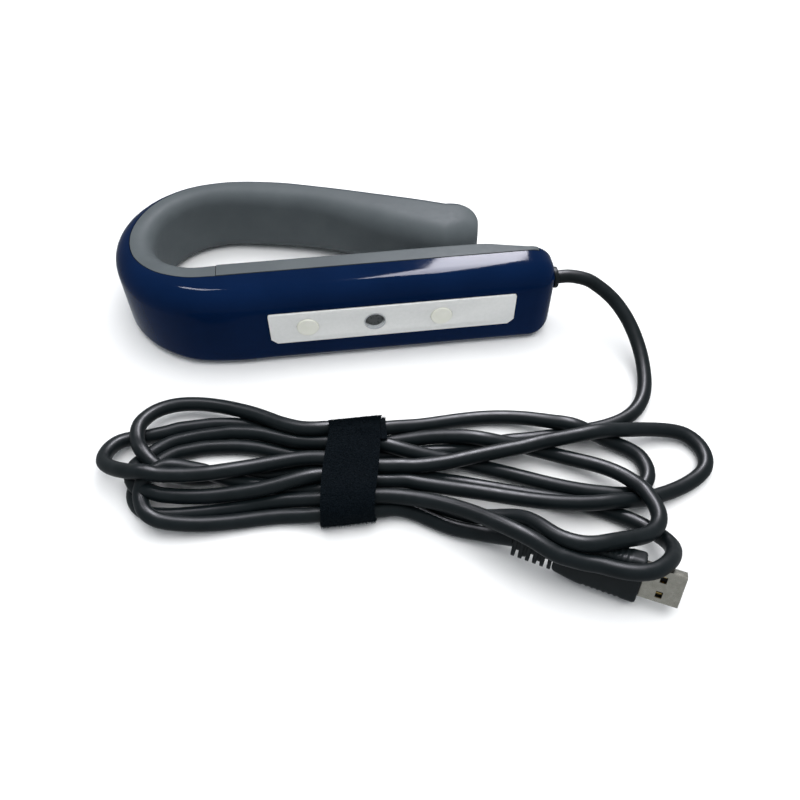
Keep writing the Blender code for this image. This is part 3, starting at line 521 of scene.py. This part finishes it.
def make_casing():
    blue = make_piece("blue_shell", casing_loft(ROWS, 0.0), "blue")
    carve(blue, cutter("cavity", casing_loft(ROWS, WALL)))
    outline = [(COVER_END_X + GAP, HANDLE_SPLIT - GAP), (PARTING_X, HANDLE_SPLIT - GAP)]
    outline += split_line(ROWS, -GAP)
    outline += [(38.0, 57.6 + GAP), (46.0, 60.5 + GAP), (66.0, 60.5 + GAP), (66.0, 30.0),
                (COVER_END_X + GAP, 30.0)]
    carve(blue, cutter("grey_side", prism(outline, -CUT_REACH, CUT_REACH)))
    carve(blue, cutter("pocket", slab_y(plate_outline(GAP), -1.0, 1.5)))
    for x in BUTTON_XS:
        hole = turned(((-1.0, BUTTON_RADIUS + GAP), (3.6, BUTTON_RADIUS + GAP)))
        carve(blue, cutter("button_hole", hole, SHIFT + Vector((x, 0.0, 0.0))))
    hole = turned(((54.6, 3.9), (75.0, 3.9)))
    carve(blue, cutter("gland_hole", hole, SHIFT + Vector((0.0, *LEAD_EXIT)), LEVEL_X))
    finish_mesh(blue, 40.0)
    stands_for(blue, ROOT, "blue_shell", "outer_shell")

    cover = make_piece("grey_handle_cover", casing_loft(ROWS, 0.0, COVER_PROUD), "grey")
    carve(cover, cutter("cavity", casing_loft(ROWS, WALL)))
    low_x = PARTING_X + GAP / 2
    region = ((low_x, HANDLE_SPLIT), (COVER_END_X, HANDLE_SPLIT), (COVER_END_X, 30.0), (low_x, 30.0))
    carve(cover, cutter("region", prism(region, -CUT_REACH, CUT_REACH)), "INTERSECT")
    for x in (-63.0, 34.0):
        sink = turned(((16.0, 1.4), (19.8, 1.4), (19.8, 2.6), (24.0, 2.6)), 48)
        carve(cover, cutter("sink", sink, SHIFT + Vector((x, 0.0, -9.0))))
    finish_mesh(cover, 40.0)
    stands_for(cover, ROOT, "grey_liner", "handle_cover")

    liner = make_piece("grey_liner", casing_loft(ROWS, 0.0), "grey")
    carve(liner, cutter("cavity", casing_loft(ROWS, WALL)))
    start_x = PARTING_X - GAP / 2
    outline = [(start_x, HANDLE_SPLIT)] + split_line(ROWS, 0.0)
    outline += [(38.0, 57.6), (46.0, 60.5), (60.0, 60.5), (60.0, 30.0), (start_x, 30.0)]
    carve(liner, cutter("region", prism(outline, -CUT_REACH, CUT_REACH)), "INTERSECT")
    finish_mesh(liner, 40.0)
    stands_for(liner, ROOT, "grey_liner", "inner_shell")


# ---------------------------------------------------------------- button panel

def make_panel():
    plate = make_piece("button_panel", slab_y(plate_outline(0.0), 0.0, PLATE_THICKNESS), "plate")
    for x in BUTTON_XS:
        hole = turned(((-1.0, BUTTON_RADIUS + GAP), (2.2, BUTTON_RADIUS + GAP)))
        carve(plate, cutter("hole", hole, SHIFT + Vector((x, 0.0, 0.0))))
    bevel(plate, 0.28)
    finish_mesh(plate, 30.0)
    stands_for(plate, ROOT, "panel_aluminium", "button_plate")

    for name, x in (("left", BUTTON_XS[0]), ("right", BUTTON_XS[2])):
        profile, face_radius = [], CAP_RADIUS - CAP_EDGE
        for step in range(9):
            share = step / 8
            profile.append((CAP_FACE_Y - 0.02 * (1 - share**2), max(share * face_radius, AXIS_RADIUS)))
        for step in range(1, 9):
            angle = math.radians(90.0 * step / 8)
            profile.append((CAP_FACE_Y + CAP_EDGE - CAP_EDGE * math.cos(angle),
                            face_radius + CAP_EDGE * math.sin(angle)))
        profile += [(FLANGE_YS[0], CAP_RADIUS), (FLANGE_YS[0], FLANGE_RADIUS),
                    (FLANGE_YS[1], FLANGE_RADIUS), (FLANGE_YS[1], AXIS_RADIUS)]
        cap = make_piece(f"{name}_button_cap", turned(profile), "cream",
                         SHIFT + Vector((x, 0.0, 0.0)))
        stands_for(cap, f"{name}_button", "cream_button", f"{name}_button")

    profile = [(1.0 + 0.22 * (1 - (step / 8) ** 2), max(step / 8 * 2.8, AXIS_RADIUS))
               for step in range(9)]
    profile += [(1.03, 2.95), (1.12, 3.06), (1.3, 3.1), (FLANGE_YS[0], 3.1),
                (FLANGE_YS[0], FLANGE_RADIUS), (FLANGE_YS[1], FLANGE_RADIUS), (FLANGE_YS[1], AXIS_RADIUS)]
    centre = SHIFT + Vector((BUTTON_XS[1], 0.0, 0.0))
    cap = make_piece("centre_button_cap", turned(profile), "dark", centre)
    stands_for(cap, "centre_button", "dark_button", "centre_button")

    section = [(0.0, 4.43), (2.6, 4.43), (2.6, 3.15), (1.25, 3.15), (1.1, 3.2), (0.3, 3.78),
               (0.02, 3.9), (-0.14, 4.02), (-0.18, 4.15), (-0.14, 4.32)]
    rings = []
    for index in range(96):
        angle = 2 * math.pi * index / 96
        rings.append([(radius * math.cos(angle), y, radius * math.sin(angle)) for y, radius in section])
    ring = make_piece("centre_bezel_ring", loft(rings, closed=True), "chrome", centre)
    stands_for(ring, ROOT, "chrome_ring", "centre_bezel")


def make_gland():
    profile = [(56.4, 0.5), (56.4, 4.4), (58.0, 4.4), (58.0, 3.6), (67.7, 3.6), (67.7, 4.25),
               (67.85, 4.4), (69.0, 4.4)]
    for step in range(1, 7):
        angle = math.radians(90.0 * step / 6)
        profile.append((69.0 + 0.5 * math.sin(angle), 3.9 + 0.5 * math.cos(angle)))
    profile += [(69.5, 3.2), (69.1, 2.95), (69.1, 0.5)]
    gland = make_piece("lead_gland", turned(profile), "cable",
                       SHIFT + Vector((0.0, *LEAD_EXIT)), LEVEL_X)
    stands_for(gland, ROOT, "cable_jacket", "cable_gland")

# ---------------------------------------------------------------- lead

ROUTE = (
    (91.3, -32.6, 24.2), (95.6, -32.8, 24.4), (100.8, -34, 24), (107, -36.4, 22.3),
    (112.8, -40.6, 19.3), (117.6, -46.6, 15.2), (120.4, -54.4, 11), (121.4, -63.8, 7.2),
    (120.6, -73.4, 4.4), (117.9, -82.8, 3), (111.3, -91.9, 3), (99.2, -97, 3), (86.9, -98.4, 3),
    (72.9, -99.5, 3), (59.1, -100.7, 3), (43.6, -101.1, 3), (28.4, -100.6, 3), (15.2, -99.5, 3),
    (0.4, -97.5, 3), (-12.6, -93.2, 3), (-23.8, -89.9, 3), (-37.7, -87.6, 3), (-48.3, -85.9, 3),
    (-57.7, -86, 3), (-65.1, -87.6, 3), (-71.2, -91.5, 3), (-75.7, -96, 3), (-79.7, -100.4, 3),
    (-81.8, -104.5, 3), (-81.5, -108.4, 3), (-78, -112.6, 3), (-70.3, -117.7, 3), (-59.3, -121.2, 3),
    (-48.5, -121.3, 3), (-38, -119.3, 3), (-26.7, -117.7, 5), (-15.5, -118.1, 8), (-1.4, -119.5, 8.7),
    (9.1, -121.2, 8.7), (18.5, -123, 9), (31, -128.7, 11), (41.7, -138.7, 16), (51.4, -149.1, 20.5),
    (62.6, -154.9, 18.5), (74, -159.9, 17.2), (84.6, -164.1, 18.6), (93, -164.7, 18.4),
    (101.7, -158.6, 12.5), (103.5, -151.1, 7.5), (101.1, -145.2, 4.5), (96.9, -139, 3.2),
    (90.9, -134.8, 3), (84.6, -131.5, 3), (71.9, -126.6, 3), (58.1, -122.3, 3), (44.3, -117.5, 3),
    (30.3, -112.7, 3), (16.1, -107.8, 3), (-13.2, -102.8, 3), (-24.3, -103.3, 3), (-39, -104.1, 3),
    (-53.5, -103.2, 3), (-64.5, -101, 3), (-71.9, -97.3, 3), (-77.5, -92.4, 4), (-80.5, -88.9, 8),
    (-82.2, -83.4, 9), (-81.4, -77.7, 9.5), (-77.5, -73.2, 10), (-71.4, -70, 10), (-62.7, -69.3, 10),
    (-52.3, -71.4, 10), (-41.6, -75.2, 10), (-30.3, -80.1, 10), (-19.1, -85.3, 10), (-10, -89.3, 10),
    (11, -94.6, 8.5), (27.7, -90.7, 7), (45.9, -86.5, 4), (61.6, -86.7, 3), (76.2, -91.9, 4),
    (87.8, -100.7, 7.5), (97.2, -106.3, 6), (105.1, -111, 3), (108.3, -117.7, 3), (106.9, -123.1, 3),
    (102.7, -127.4, 3), (93.4, -127.4, 3), (81.9, -125.2, 3), (69.3, -120.6, 3), (56.7, -114.6, 3),
    (43.9, -108.6, 3), (30.7, -102.9, 3), (17.1, -98.9, 3), (-12.4, -89.4, 3), (-23.6, -85.2, 3),
    (-37.6, -81.4, 3.5), (-49.5, -80.4, 3.5), (-61.6, -81.3, 3.5), (-70.8, -85, 3.5), (-77.2, -90.3, 3),
    (-81.5, -96.2, 3), (-82.8, -101.3, 3), (-76.7, -108.7, 8), (-69.1, -112.4, 9), (-54.8, -115, 9),
    (-40.6, -114.3, 9), (-26.1, -111.9, 9), (-12.1, -110.2, 9), (6.1, -115.7, 9), (23.6, -118.4, 9),
    (36.5, -122.1, 9), (53.2, -128, 9), (69.8, -133, 9), (87, -135.1, 9), (105.7, -133.3, 9),
    (120.9, -128.8, 9), (129.8, -120.3, 9), (130.5, -113.3, 9), (126, -107.5, 9), (115.8, -103.6, 9),
    (100.4, -104.5, 11.5), (81.5, -104.7, 11), (62.2, -106.3, 11), (43.4, -108.4, 10),
    (24.8, -110.2, 9), (6.6, -110.9, 9), (-11.5, -100, 9), (-33, -102.6, 10), (-54.5, -105.8, 12),
    (-68.8, -105.3, 12.5), (-79.5, -103.1, 12.5), (-88, -96.7, 10), (-92.7, -89.9, 7),
    (-92.1, -82.2, 4), (-87.8, -79.6, 3), (-80.3, -79.1, 3), (-64.8, -79.6, 3), (-57.1, -78.5, 3),
    (-41.5, -79.3, 3), (-25.8, -82.5, 3), (-11.1, -87.2, 3), (10.8, -93, 3), (17.6, -95.4, 3),
    (31.9, -94.8, 3), (50.5, -97.8, 5), (63.7, -102, 6.5), (71.9, -107.5, 7), (80.2, -111.9, 7),
    (88.7, -115, 7.5), (95.2, -120.3, 9), (99.6, -126.3, 10), (101, -134, 12.5), (102.6, -139.5, 13),
    (103.3, -142.8, 12.5), (98.6, -148.2, 13.5), (88.6, -152.3, 17.5), (78.9, -154.4, 20.6),
    (70.5, -154.3, 21), (63.6, -150.9, 18.5), (57.1, -145.9, 15), (46.9, -136.9, 8.5),
    (35.4, -130, 4.5), (22.9, -124.3, 3), (5.6, -119.2, 3), (-12.7, -112.2, 3), (-26.7, -109.6, 3),
    (-41.5, -104.6, 6), (-54.5, -100.6, 8), (-65, -98.3, 8), (-72.5, -98.8, 8), (-78, -102.6, 8),
    (-79.5, -108, 6), (-76.5, -113.2, 4), (-69.5, -116.2, 3), (-57, -117.6, 3), (-41.5, -117.6, 3),
    (-27, -119, 3), (-13.1, -119.8, 3), (4.3, -122, 3), (22.3, -128.6, 3), (38, -134.9, 3.1),
    (41.9, -137.9, 4.8), (45.6, -140.8, 7.3), (49.7, -143.1, 9.4), (50.9, -143.8, 9.7),
)
CORD_DIAMETER = 5.6
PLUG_CENTRE = Vector((76.1, -156.6, 9.6))
PLUG_TURN = (Matrix.Rotation(math.radians(-27.0), 3, "Z") @ Matrix.Rotation(math.radians(62.0), 3, "X"))
PLUG_BLOCKS = ((0.0, (14.3, 8.3, 4.0)), (21.0, (7.0, 6.0, 2.3)), (-21.6, (7.4, 6.3, 3.2)))
PLUG_END_POINTS = 9
CONTACT_REACH = CORD_DIAMETER * 1.02
SETTLE_TURNS = 600
POINT_SPACING = 4.5
BEND_LIMIT = 12.5
HUNG_LENGTH = 110
HUNG_PLUG_REACH = 24.0
LEAN_LIMIT = 4.0
TIE_XS = (-16.0, 14.0)
TIE_YS = (-123.5, -90.0)
TIE_FLOOR = 1.4
TIE_TOP = 14.0
TIE_TAPER = 30.0


def even_points(points, spacing):
    """Points evenly spaced along a line of points."""
    reach = np.concatenate([[0.0], np.cumsum(np.linalg.norm(np.diff(points, axis=0), axis=1))])
    marks = np.linspace(0.0, reach[-1], int(round(reach[-1] / spacing)) + 1)
    return np.stack([np.interp(marks, reach, points[:, axis]) for axis in range(3)], 1)


def keep_lengths(rope, rest):
    """Bring every stretch of the rope back to its rest length."""
    for start in (0, 1, 0, 1, 0, 1):
        first = np.arange(start, len(rope) - 1, 2)
        step = rope[first + 1] - rope[first]
        size = np.maximum(np.linalg.norm(step, axis=1, keepdims=True), 1e-6)
        fix = 0.5 * (1 - rest / size) * step
        rope[first] += fix
        rope[first + 1] -= fix


def limit_bends(rope, rest, radius):
    """Ease the bends that are tighter than a radius."""
    for gap in (2, 3):
        bend = 0.5 * (rope[:-2 * gap] + rope[2 * gap:]) - rope[gap:-gap]
        size = np.maximum(np.linalg.norm(bend, axis=1, keepdims=True), 1e-6)
        fix = bend * np.maximum(1 - 0.5 * (gap * rest) ** 2 / radius / size, 0) * 0.45
        rope[gap:-gap] += fix
        rope[:-2 * gap] -= 0.5 * fix
        rope[2 * gap:] -= 0.5 * fix


def part_strands(rope, order, first, second):
    """Push touching strands apart: side by side where they run along each other, up where they cross."""
    along = np.gradient(rope, axis=0)
    along /= np.linalg.norm(along, axis=1, keepdims=True)
    away = rope[second] - rope[first]
    near = (away**2).sum(1) < CONTACT_REACH**2
    first, second, away = first[near], second[near], away[near]
    same = (along[first] * along[second]).sum(1)
    crossing = 1 - np.abs(same)
    line = along[first] + np.sign(same)[:, None] * along[second]
    line /= np.maximum(np.linalg.norm(line, axis=1, keepdims=True), 1e-6)
    away -= (away * line).sum(1)[:, None] * line * (crossing < 0.1)[:, None]
    size = np.maximum(np.linalg.norm(away, axis=1), 1e-4)
    up = np.zeros_like(away)
    up[:, 2] = np.where(order[second] - order[first] + 0.002 * (second - first) >= 0, 1.0, -1.0)
    share = np.clip(crossing * 6, 0, 1)[:, None]
    heading = away / size[:, None] * (1 - share) + up * share
    heading /= np.maximum(np.linalg.norm(heading, axis=1, keepdims=True), 1e-6)
    push = 0.5 * np.maximum(CONTACT_REACH - size, 0)[:, None] * heading
    moved, hits = np.zeros_like(rope), np.zeros(len(rope))
    np.add.at(moved, first, -push)
    np.add.at(moved, second, push)
    np.add.at(hits, first, 1)
    np.add.at(hits, second, 1)
    rope += moved / np.maximum(hits, 1)[:, None] * 1.3


def clear_plug(rope):
    """Push the strands that lie on the plug off its body, its USB shell and its relief."""
    radius = CORD_DIAMETER / 2
    turn = np.array(PLUG_TURN)
    spread = np.array((1, 2, 3, 4, 3, 2, 1)) / 13
    for offset, half in PLUG_BLOCKS:
        local = (rope - np.array(PLUG_CENTRE)) @ turn - np.array((offset, 0.0, 0.0))
        reach = np.array(half) + radius
        inside = (np.abs(local) < reach).all(1)
        inside[-PLUG_END_POINTS:] = False
        deep = np.stack([reach[2] - local[inside, 2], reach[1] - local[inside, 1],
                         reach[2] + local[inside, 2]])
        ways = np.stack([turn[:, 2], turn[:, 1], -turn[:, 2]])
        moved = np.zeros_like(rope)
        moved[inside] = ways[deep.argmin(0)] * deep.min(0)[:, None] * 0.3
        rope += np.stack([np.convolve(moved[:, axis], spread, "same") for axis in range(3)], 1)


def hold_in_tie(rope):
    """Keep the strands inside the strap, and ease them out to either side of it."""
    beyond = np.maximum(np.maximum(TIE_XS[0] - rope[:, 0], rope[:, 0] - TIE_XS[1]), 0.0)
    tied = beyond < TIE_TAPER
    slack = 0.02 * beyond[tied] ** 2 + 0.3 * beyond[tied]
    rope[tied, 1] = np.clip(rope[tied, 1], TIE_YS[0] - slack, TIE_YS[1] + slack)
    low = CORD_DIAMETER / 2 + np.maximum(TIE_FLOOR - slack, 0.02)
    rope[tied, 2] = np.clip(rope[tied, 2], low, TIE_TOP + slack)


def relaxed_route():
    """Settle the lead on the table: it keeps its length, rests on itself and follows the route.

    A strand that rises or sinks moves along the camera's line of sight, so its outline stays put.
    """
    rope = even_points(np.array([tuple(point) for point in curve_through(ROUTE, 6)]), POINT_SPACING)
    goal = rope.copy()
    rest = np.linalg.norm(np.diff(rope, axis=0), axis=1).mean()
    first, second = np.triu_indices(len(rope), k=5)
    held = np.r_[0:4, len(rope) - 3:len(rope)]
    hung = np.clip(1 - np.arange(len(rope)) * POINT_SPACING / HUNG_LENGTH, 0, 1)
    eye = np.array(EYE)
    axis = np.array(PLUG_TURN)[:, 0]
    from_plug = goal - np.array(PLUG_CENTRE)
    share = np.clip(from_plug @ axis, -28.0, 28.0)[:, None]
    from_plug = np.linalg.norm(from_plug - share * axis, axis=1)
    hung = np.maximum(hung, 0.6 * np.exp(-(from_plug / HUNG_PLUG_REACH) ** 4))
    lean = np.zeros_like(goal[:, :2])
    for turn in range(SETTLE_TURNS):
        done = turn / SETTLE_TURNS
        follow = 0.12 if done < 0.5 else 0.05 if done < 0.75 else 0.02
        rope[:, 2] -= (0.25 if done < 0.8 else 0.05) * (1 - hung)
        sight = (eye[2] - rope[:, 2]) / (eye[2] - goal[:, 2])
        aim = eye[:2] + (goal[:, :2] - eye[:2]) * sight[:, None]
        if done < 0.75:
            lean = np.clip(lean + 0.015 * (aim - rope[:, :2]), -LEAN_LIMIT, LEAN_LIMIT)
        for _ in range(4):
            lean[1:-1] += 0.5 * (0.5 * (lean[:-2] + lean[2:]) - lean[1:-1])
        rope[:, :2] += follow * (aim + lean - rope[:, :2])
        rope[:, 2] += hung * 0.3 * (goal[:, 2] - rope[:, 2])
        rope[1:-1] += 0.2 * (0.5 * (rope[:-2] + rope[2:]) - rope[1:-1])
        limit_bends(rope, rest, BEND_LIMIT)
        for _ in range(2):
            rope[1:-1, 2] += 0.3 * (0.5 * (rope[:-2, 2] + rope[2:, 2]) - rope[1:-1, 2])
        keep_lengths(rope, rest)
        for _ in range(1 if done < 0.6 else 2):
            part_strands(rope, goal[:, 2], first, second)
        clear_plug(rope)
        hold_in_tie(rope)
        rope[:, 2] = np.maximum(rope[:, 2], CORD_DIAMETER / 2 + 0.02)
        rope[held] = goal[held]
    return rope


def make_cord():
    route = curve_through(relaxed_route(), 3)
    data = bpy.data.curves.new("lead_cord", "CURVE")
    data.dimensions = "3D"
    data.bevel_depth = CORD_DIAMETER / 2 * MM
    data.bevel_resolution = 7
    data.use_fill_caps = True
    spline = data.splines.new("POLY")
    spline.points.add(len(route) - 1)
    for target, point in zip(spline.points, route):
        target.co = (*(point * MM), 1.0)
    spline.use_smooth = True
    data.materials.append(LOOKS["cable"])
    item = bpy.data.objects.new("lead_cord", data)
    bpy.context.scene.collection.objects.link(item)
    return stands_for(item, ROOT, "cable_jacket", "cord_lead", "cord_hank", "cord_tail")


# ---------------------------------------------------------------- strap

STRAP_X = (-12.0, 8.5)
STRAP_THICKNESS = 1.35
FIBRE_COUNT = 9000
FIBRE_HALF_WIDTH = 0.045
FIBRE_TABLE_GAP = 1.6
STRAP_PATH = (
    (-99.0, 13.0), (-93.0, 12.8), (-88.6, 11.4), (-86.6, 7.2), (-87.0, 2.8), (-89.8, 0.85),
    (-97.0, 0.75), (-105.0, 0.75), (-115.0, 0.75), (-123.6, 0.9), (-126.6, 3.0), (-127.1, 7.0),
    (-125.7, 11.2), (-121.0, 13.4), (-112.0, 13.8), (-104.0, 14.1), (-97.0, 14.3), (-93.0, 14.5),
    (-91.0, 15.0), (-89.8, 15.7),
)


def strap_frame(share):
    """The strap's middle line at a share of its length, with its outward direction, in Y and Z."""
    place = share * (len(STRAP_LINE) - 1)
    index = min(int(place), len(STRAP_LINE) - 2)
    here = STRAP_LINE[index].lerp(STRAP_LINE[index + 1], place - index)
    ahead = STRAP_LINE[min(index + 2, len(STRAP_LINE) - 1)] - STRAP_LINE[max(index - 1, 0)]
    ahead.normalize()
    return here, Vector((ahead.y, -ahead.x)) * -1.0


STRAP_LINE = curve_through(STRAP_PATH, 8)


def strap_x(t, y, share):
    """Across the strap, which lies a little askew: further right at its far side and inner end."""
    askew = 0.8 + 0.17 * (y + 105.0) + 2.6 * max(0.0, 1.0 - share / 0.3)
    return lerp(STRAP_X[0] + 0.5, STRAP_X[1] - 0.5, t) + askew


def make_strap():
    steps_along, steps_across = 220, 34
    random.seed(7)
    data = bmesh.new()
    skins = []
    for side in (1.0, -1.0):
        rows = []
        for along in range(steps_along + 1):
            share = along / steps_along
            here, out = strap_frame(share)
            row = []
            for across in range(steps_across + 1):
                t = across / steps_across
                edge = 0.35 * math.sin(share * 23.0 + (9.0 if t > 0.5 else 0.0)) * abs(2 * t - 1) ** 4
                x = strap_x(t, here.x, share) + edge
                thin = 1.0 - 0.45 * abs(2 * t - 1) ** 10
                rise = side * STRAP_THICKNESS / 2 * thin + random.uniform(-0.09, 0.09)
                rise += 0.16 * math.sin(share * 61.0 + t * 5.0) * t
                point = here + out * rise
                row.append(data.verts.new((x, point.x, point.y)))
            rows.append(row)
        skins.append(rows)
    top, under = skins
    for rows in skins:
        for first, second in zip(rows, rows[1:]):
            for k in range(steps_across):
                data.faces.new((first[k], first[k + 1], second[k + 1], second[k]))
    for k in range(steps_across):
        for end in (0, -1):
            data.faces.new((top[end][k], top[end][k + 1], under[end][k + 1], under[end][k]))
    for j in range(steps_along):
        for end in (0, -1):
            data.faces.new((top[j][end], top[j + 1][end], under[j + 1][end], under[j][end]))
    strap = make_piece("tie_strap", data, "strap", (0.0, 0.0, 0.0), sharp=60.0)
    stands_for(strap, ROOT, "strap_fabric", "cable_strap")
    return strap


def make_strap_fibres():
    """Loop pile: short bent fibres over the strap's outer face and its edges."""
    random.seed(11)
    data = bmesh.new()
    for _ in range(FIBRE_COUNT):
        share, t = random.uniform(0.02, 0.999), random.uniform(0.0, 1.0)
        here, out = strap_frame(share)
        if here.y < FIBRE_TABLE_GAP:
            continue
        x = strap_x(t, here.x, share)
        root = here + out * 0.62
        start = Vector((x, root.x, root.y))
        away = Vector((0.0, out.x, out.y))
        lean = Vector((random.uniform(-1, 1), random.uniform(-1, 1), random.uniform(-1, 1)))
        tall = random.uniform(0.25, 0.7)
        middle = start + away * tall * 0.7 + lean * 0.2
        end = middle + away * tall * 0.2 + lean * 0.35
        side = away.cross(lean).normalized() * FIBRE_HALF_WIDTH
        bottom = [data.verts.new(start - side), data.verts.new(start + side)]
        centre = [data.verts.new(middle - side), data.verts.new(middle + side)]
        tip = data.verts.new(end)
        data.faces.new((bottom[0], bottom[1], centre[1], centre[0]))
        data.faces.new((centre[0], centre[1], tip))
    fibres = make_piece("tie_strap_fibres", data, "fibre", (0.0, 0.0, 0.0))
    stands_for(fibres, ROOT, "strap_fabric")
    return fibres


# ---------------------------------------------------------------- USB plug

PLUG_HALF = 14.25
PLUG_MOUTH = PLUG_HALF + GAP


def plug_piece(name, data, look, slot, *nodes, at=(0.0, 0.0, 0.0)):
    place = PLUG_CENTRE + PLUG_TURN @ Vector(at)
    item = make_piece(name, data, look, place, PLUG_TURN)
    return stands_for(item, ROOT, slot, *nodes)


def make_plug():
    rings = []
    count = 120
    for index in range(count + 1):
        share = index / count
        x = lerp(-PLUG_HALF, PLUG_HALF, share)
        width = lerp(12.0, 15.6, min(share / 0.33, 1.0) ** 0.7) + 1.4 * max(share - 0.33, 0) / 0.67
        height = lerp(6.7, 8.0, min(share / 0.3, 1.0))
        ends = min(share, 1 - share) * 2 * PLUG_HALF
        soft = 1.2 * (1 - math.sqrt(max(0.0, 1 - (1 - min(ends / 1.2, 1.0)) ** 2)))
        wave = 0.0
        if 0.36 < share < 0.84:
            wave = 0.30 * (0.5 + 0.5 * math.cos(2 * math.pi * (x + PLUG_HALF) / 1.9)) ** 0.7
        ring = []
        for _, y, z in rounded_box_ring(x, width - soft, height - soft, 2.0, 7):
            edge = max(abs(y) / (width / 2) - 0.72, 0.0) / 0.28
            flat = max(1 - (2.2 * (share - 0.5)) ** 2 - (y / 5.2) ** 2, 0.0)
            y -= math.copysign(wave * min(edge * 1.6, 1.0), y)
            z -= math.copysign(0.35 * min(flat * 3.0, 1.0), z)
            ring.append((x, y, z))
        rings.append(ring)
    body = plug_piece("plug_overmould", loft(rings), "overmould", "plug_overmould", "plug_body")

    rings = []
    length, ribs = 14.0, 6
    pitch = length / (ribs - 0.45)
    for index in range(169):
        x = length * index / 168
        rib, place = divmod(x / pitch, 1.0)
        rise = min(max(min(place / 0.07, (0.62 - place) / 0.07), 0.0), 1.0)
        full = lerp(11.4, 13.2, x / length)
        width = lerp(6.6 if rib % 2 == 0 else 10.2, full, math.sqrt(rise))
        height = lerp(5.6, 6.4, math.sqrt(rise))
        rings.append(rounded_box_ring(x - PLUG_HALF - GAP - length, width, height, 2.4, 8))
    relief = plug_piece("plug_strain_relief", loft(rings), "overmould", "plug_overmould",
                        "plug_relief")

    sheet, length = 0.4, 13.0
    outer = [rounded_box_ring(x, 12.0, 4.5, 0.7) for x in (PLUG_MOUTH, PLUG_MOUTH + length)]
    inner = [rounded_box_ring(x, 12.0 - 2 * sheet, 4.5 - 2 * sheet, 0.35)
             for x in (PLUG_MOUTH + length, PLUG_MOUTH)]
    shell = plug_piece("usb_shell", loft(outer + inner, closed=True), "nickel", "nickel_shell",
                       "plug_shell")
    for y in (-2.9, 2.9):
        for side in (-1, 1):
            window = loft([rounded_box_ring(x, 2.4, 3.0, 0.25) for x in (-1.1, 1.1)])
            place = PLUG_CENTRE + PLUG_TURN @ Vector((PLUG_MOUTH + 6.2, y, side * 2.25))
            carve(shell, cutter("window", window, place, PLUG_TURN))
    bevel(shell, 0.07, 2, 50.0)
    finish_mesh(shell, 35.0)

    tongue = loft([rounded_box_ring(x, 10.4, 1.6, 0.2)
                   for x in (PLUG_MOUTH, PLUG_MOUTH + 10.8, PLUG_MOUTH + 11.6)])
    tongue = plug_piece("usb_tongue", tongue, "black", "black_parts", "plug_tongue",
                        at=(0.0, 0.0, -0.7))
    return [body, relief, shell, tongue]


# ---------------------------------------------------------------- floor and lights

def make_floor():
    mesh = bpy.data.meshes.new("studio_floor")
    data = bmesh.new()
    bmesh.ops.create_grid(data, x_segments=8, y_segments=8, size=3.0)
    data.to_mesh(mesh)
    data.free()
    floor = bpy.data.objects.new("studio_floor", mesh)
    floor.location.z = -0.0002
    floor.visible_glossy = False
    mesh.materials.append(make_look(
        "studio_floor", ((0.90, 0.90, 0.90), (0.92, 0.92, 0.92)), (0.7, 0.8), 3, 20, IOR=1.3))
    bpy.context.scene.collection.objects.link(floor)


def make_light(name, at, towards, size, power, colour=(1.0, 1.0, 1.0), diffuse=True, glossy=True):
    data = bpy.data.lights.new(name, "AREA")
    data.shape = "RECTANGLE"
    data.size, data.size_y = size
    data.energy = power
    data.color = colour
    item = bpy.data.objects.new(name, data)
    item.location = at
    item.rotation_euler = (Vector(towards) - Vector(at)).to_track_quat("-Z", "Y").to_euler()
    item.visible_diffuse = diffuse
    item.visible_glossy = glossy
    bpy.context.scene.collection.objects.link(item)


def make_lights():
    world = bpy.data.worlds.new("studio")
    world.use_nodes = True
    background = world.node_tree.nodes["Background"]
    background.inputs["Color"].default_value = (0.90, 0.95, 1.0, 1.0)
    background.inputs["Strength"].default_value = 0.46
    bpy.context.scene.world = world
    bpy.context.scene.view_settings.view_transform = "Standard"
    make_light("overhead", (0.25, 0.1, 1.6), (0.0, -0.05, 0.0), (2.2, 2.2), 44.0, glossy=False)
    make_light("window", (0.130, 0.26, 0.48), (0.045, -0.01, 0.03), (0.10, 0.42), 13.0,
               (0.93, 0.92, 1.0), diffuse=False)
    make_light("far_window", (-0.20, 0.20, 0.55), (-0.06, -0.02, 0.03), (0.05, 0.16), 2.0,
               (0.93, 0.92, 1.0), diffuse=False)


make_casing()
make_panel()
make_gland()
cord = make_cord()
tie = [make_strap(), make_strap_fibres()]
plug = make_plug()
make_floor()
make_lights()
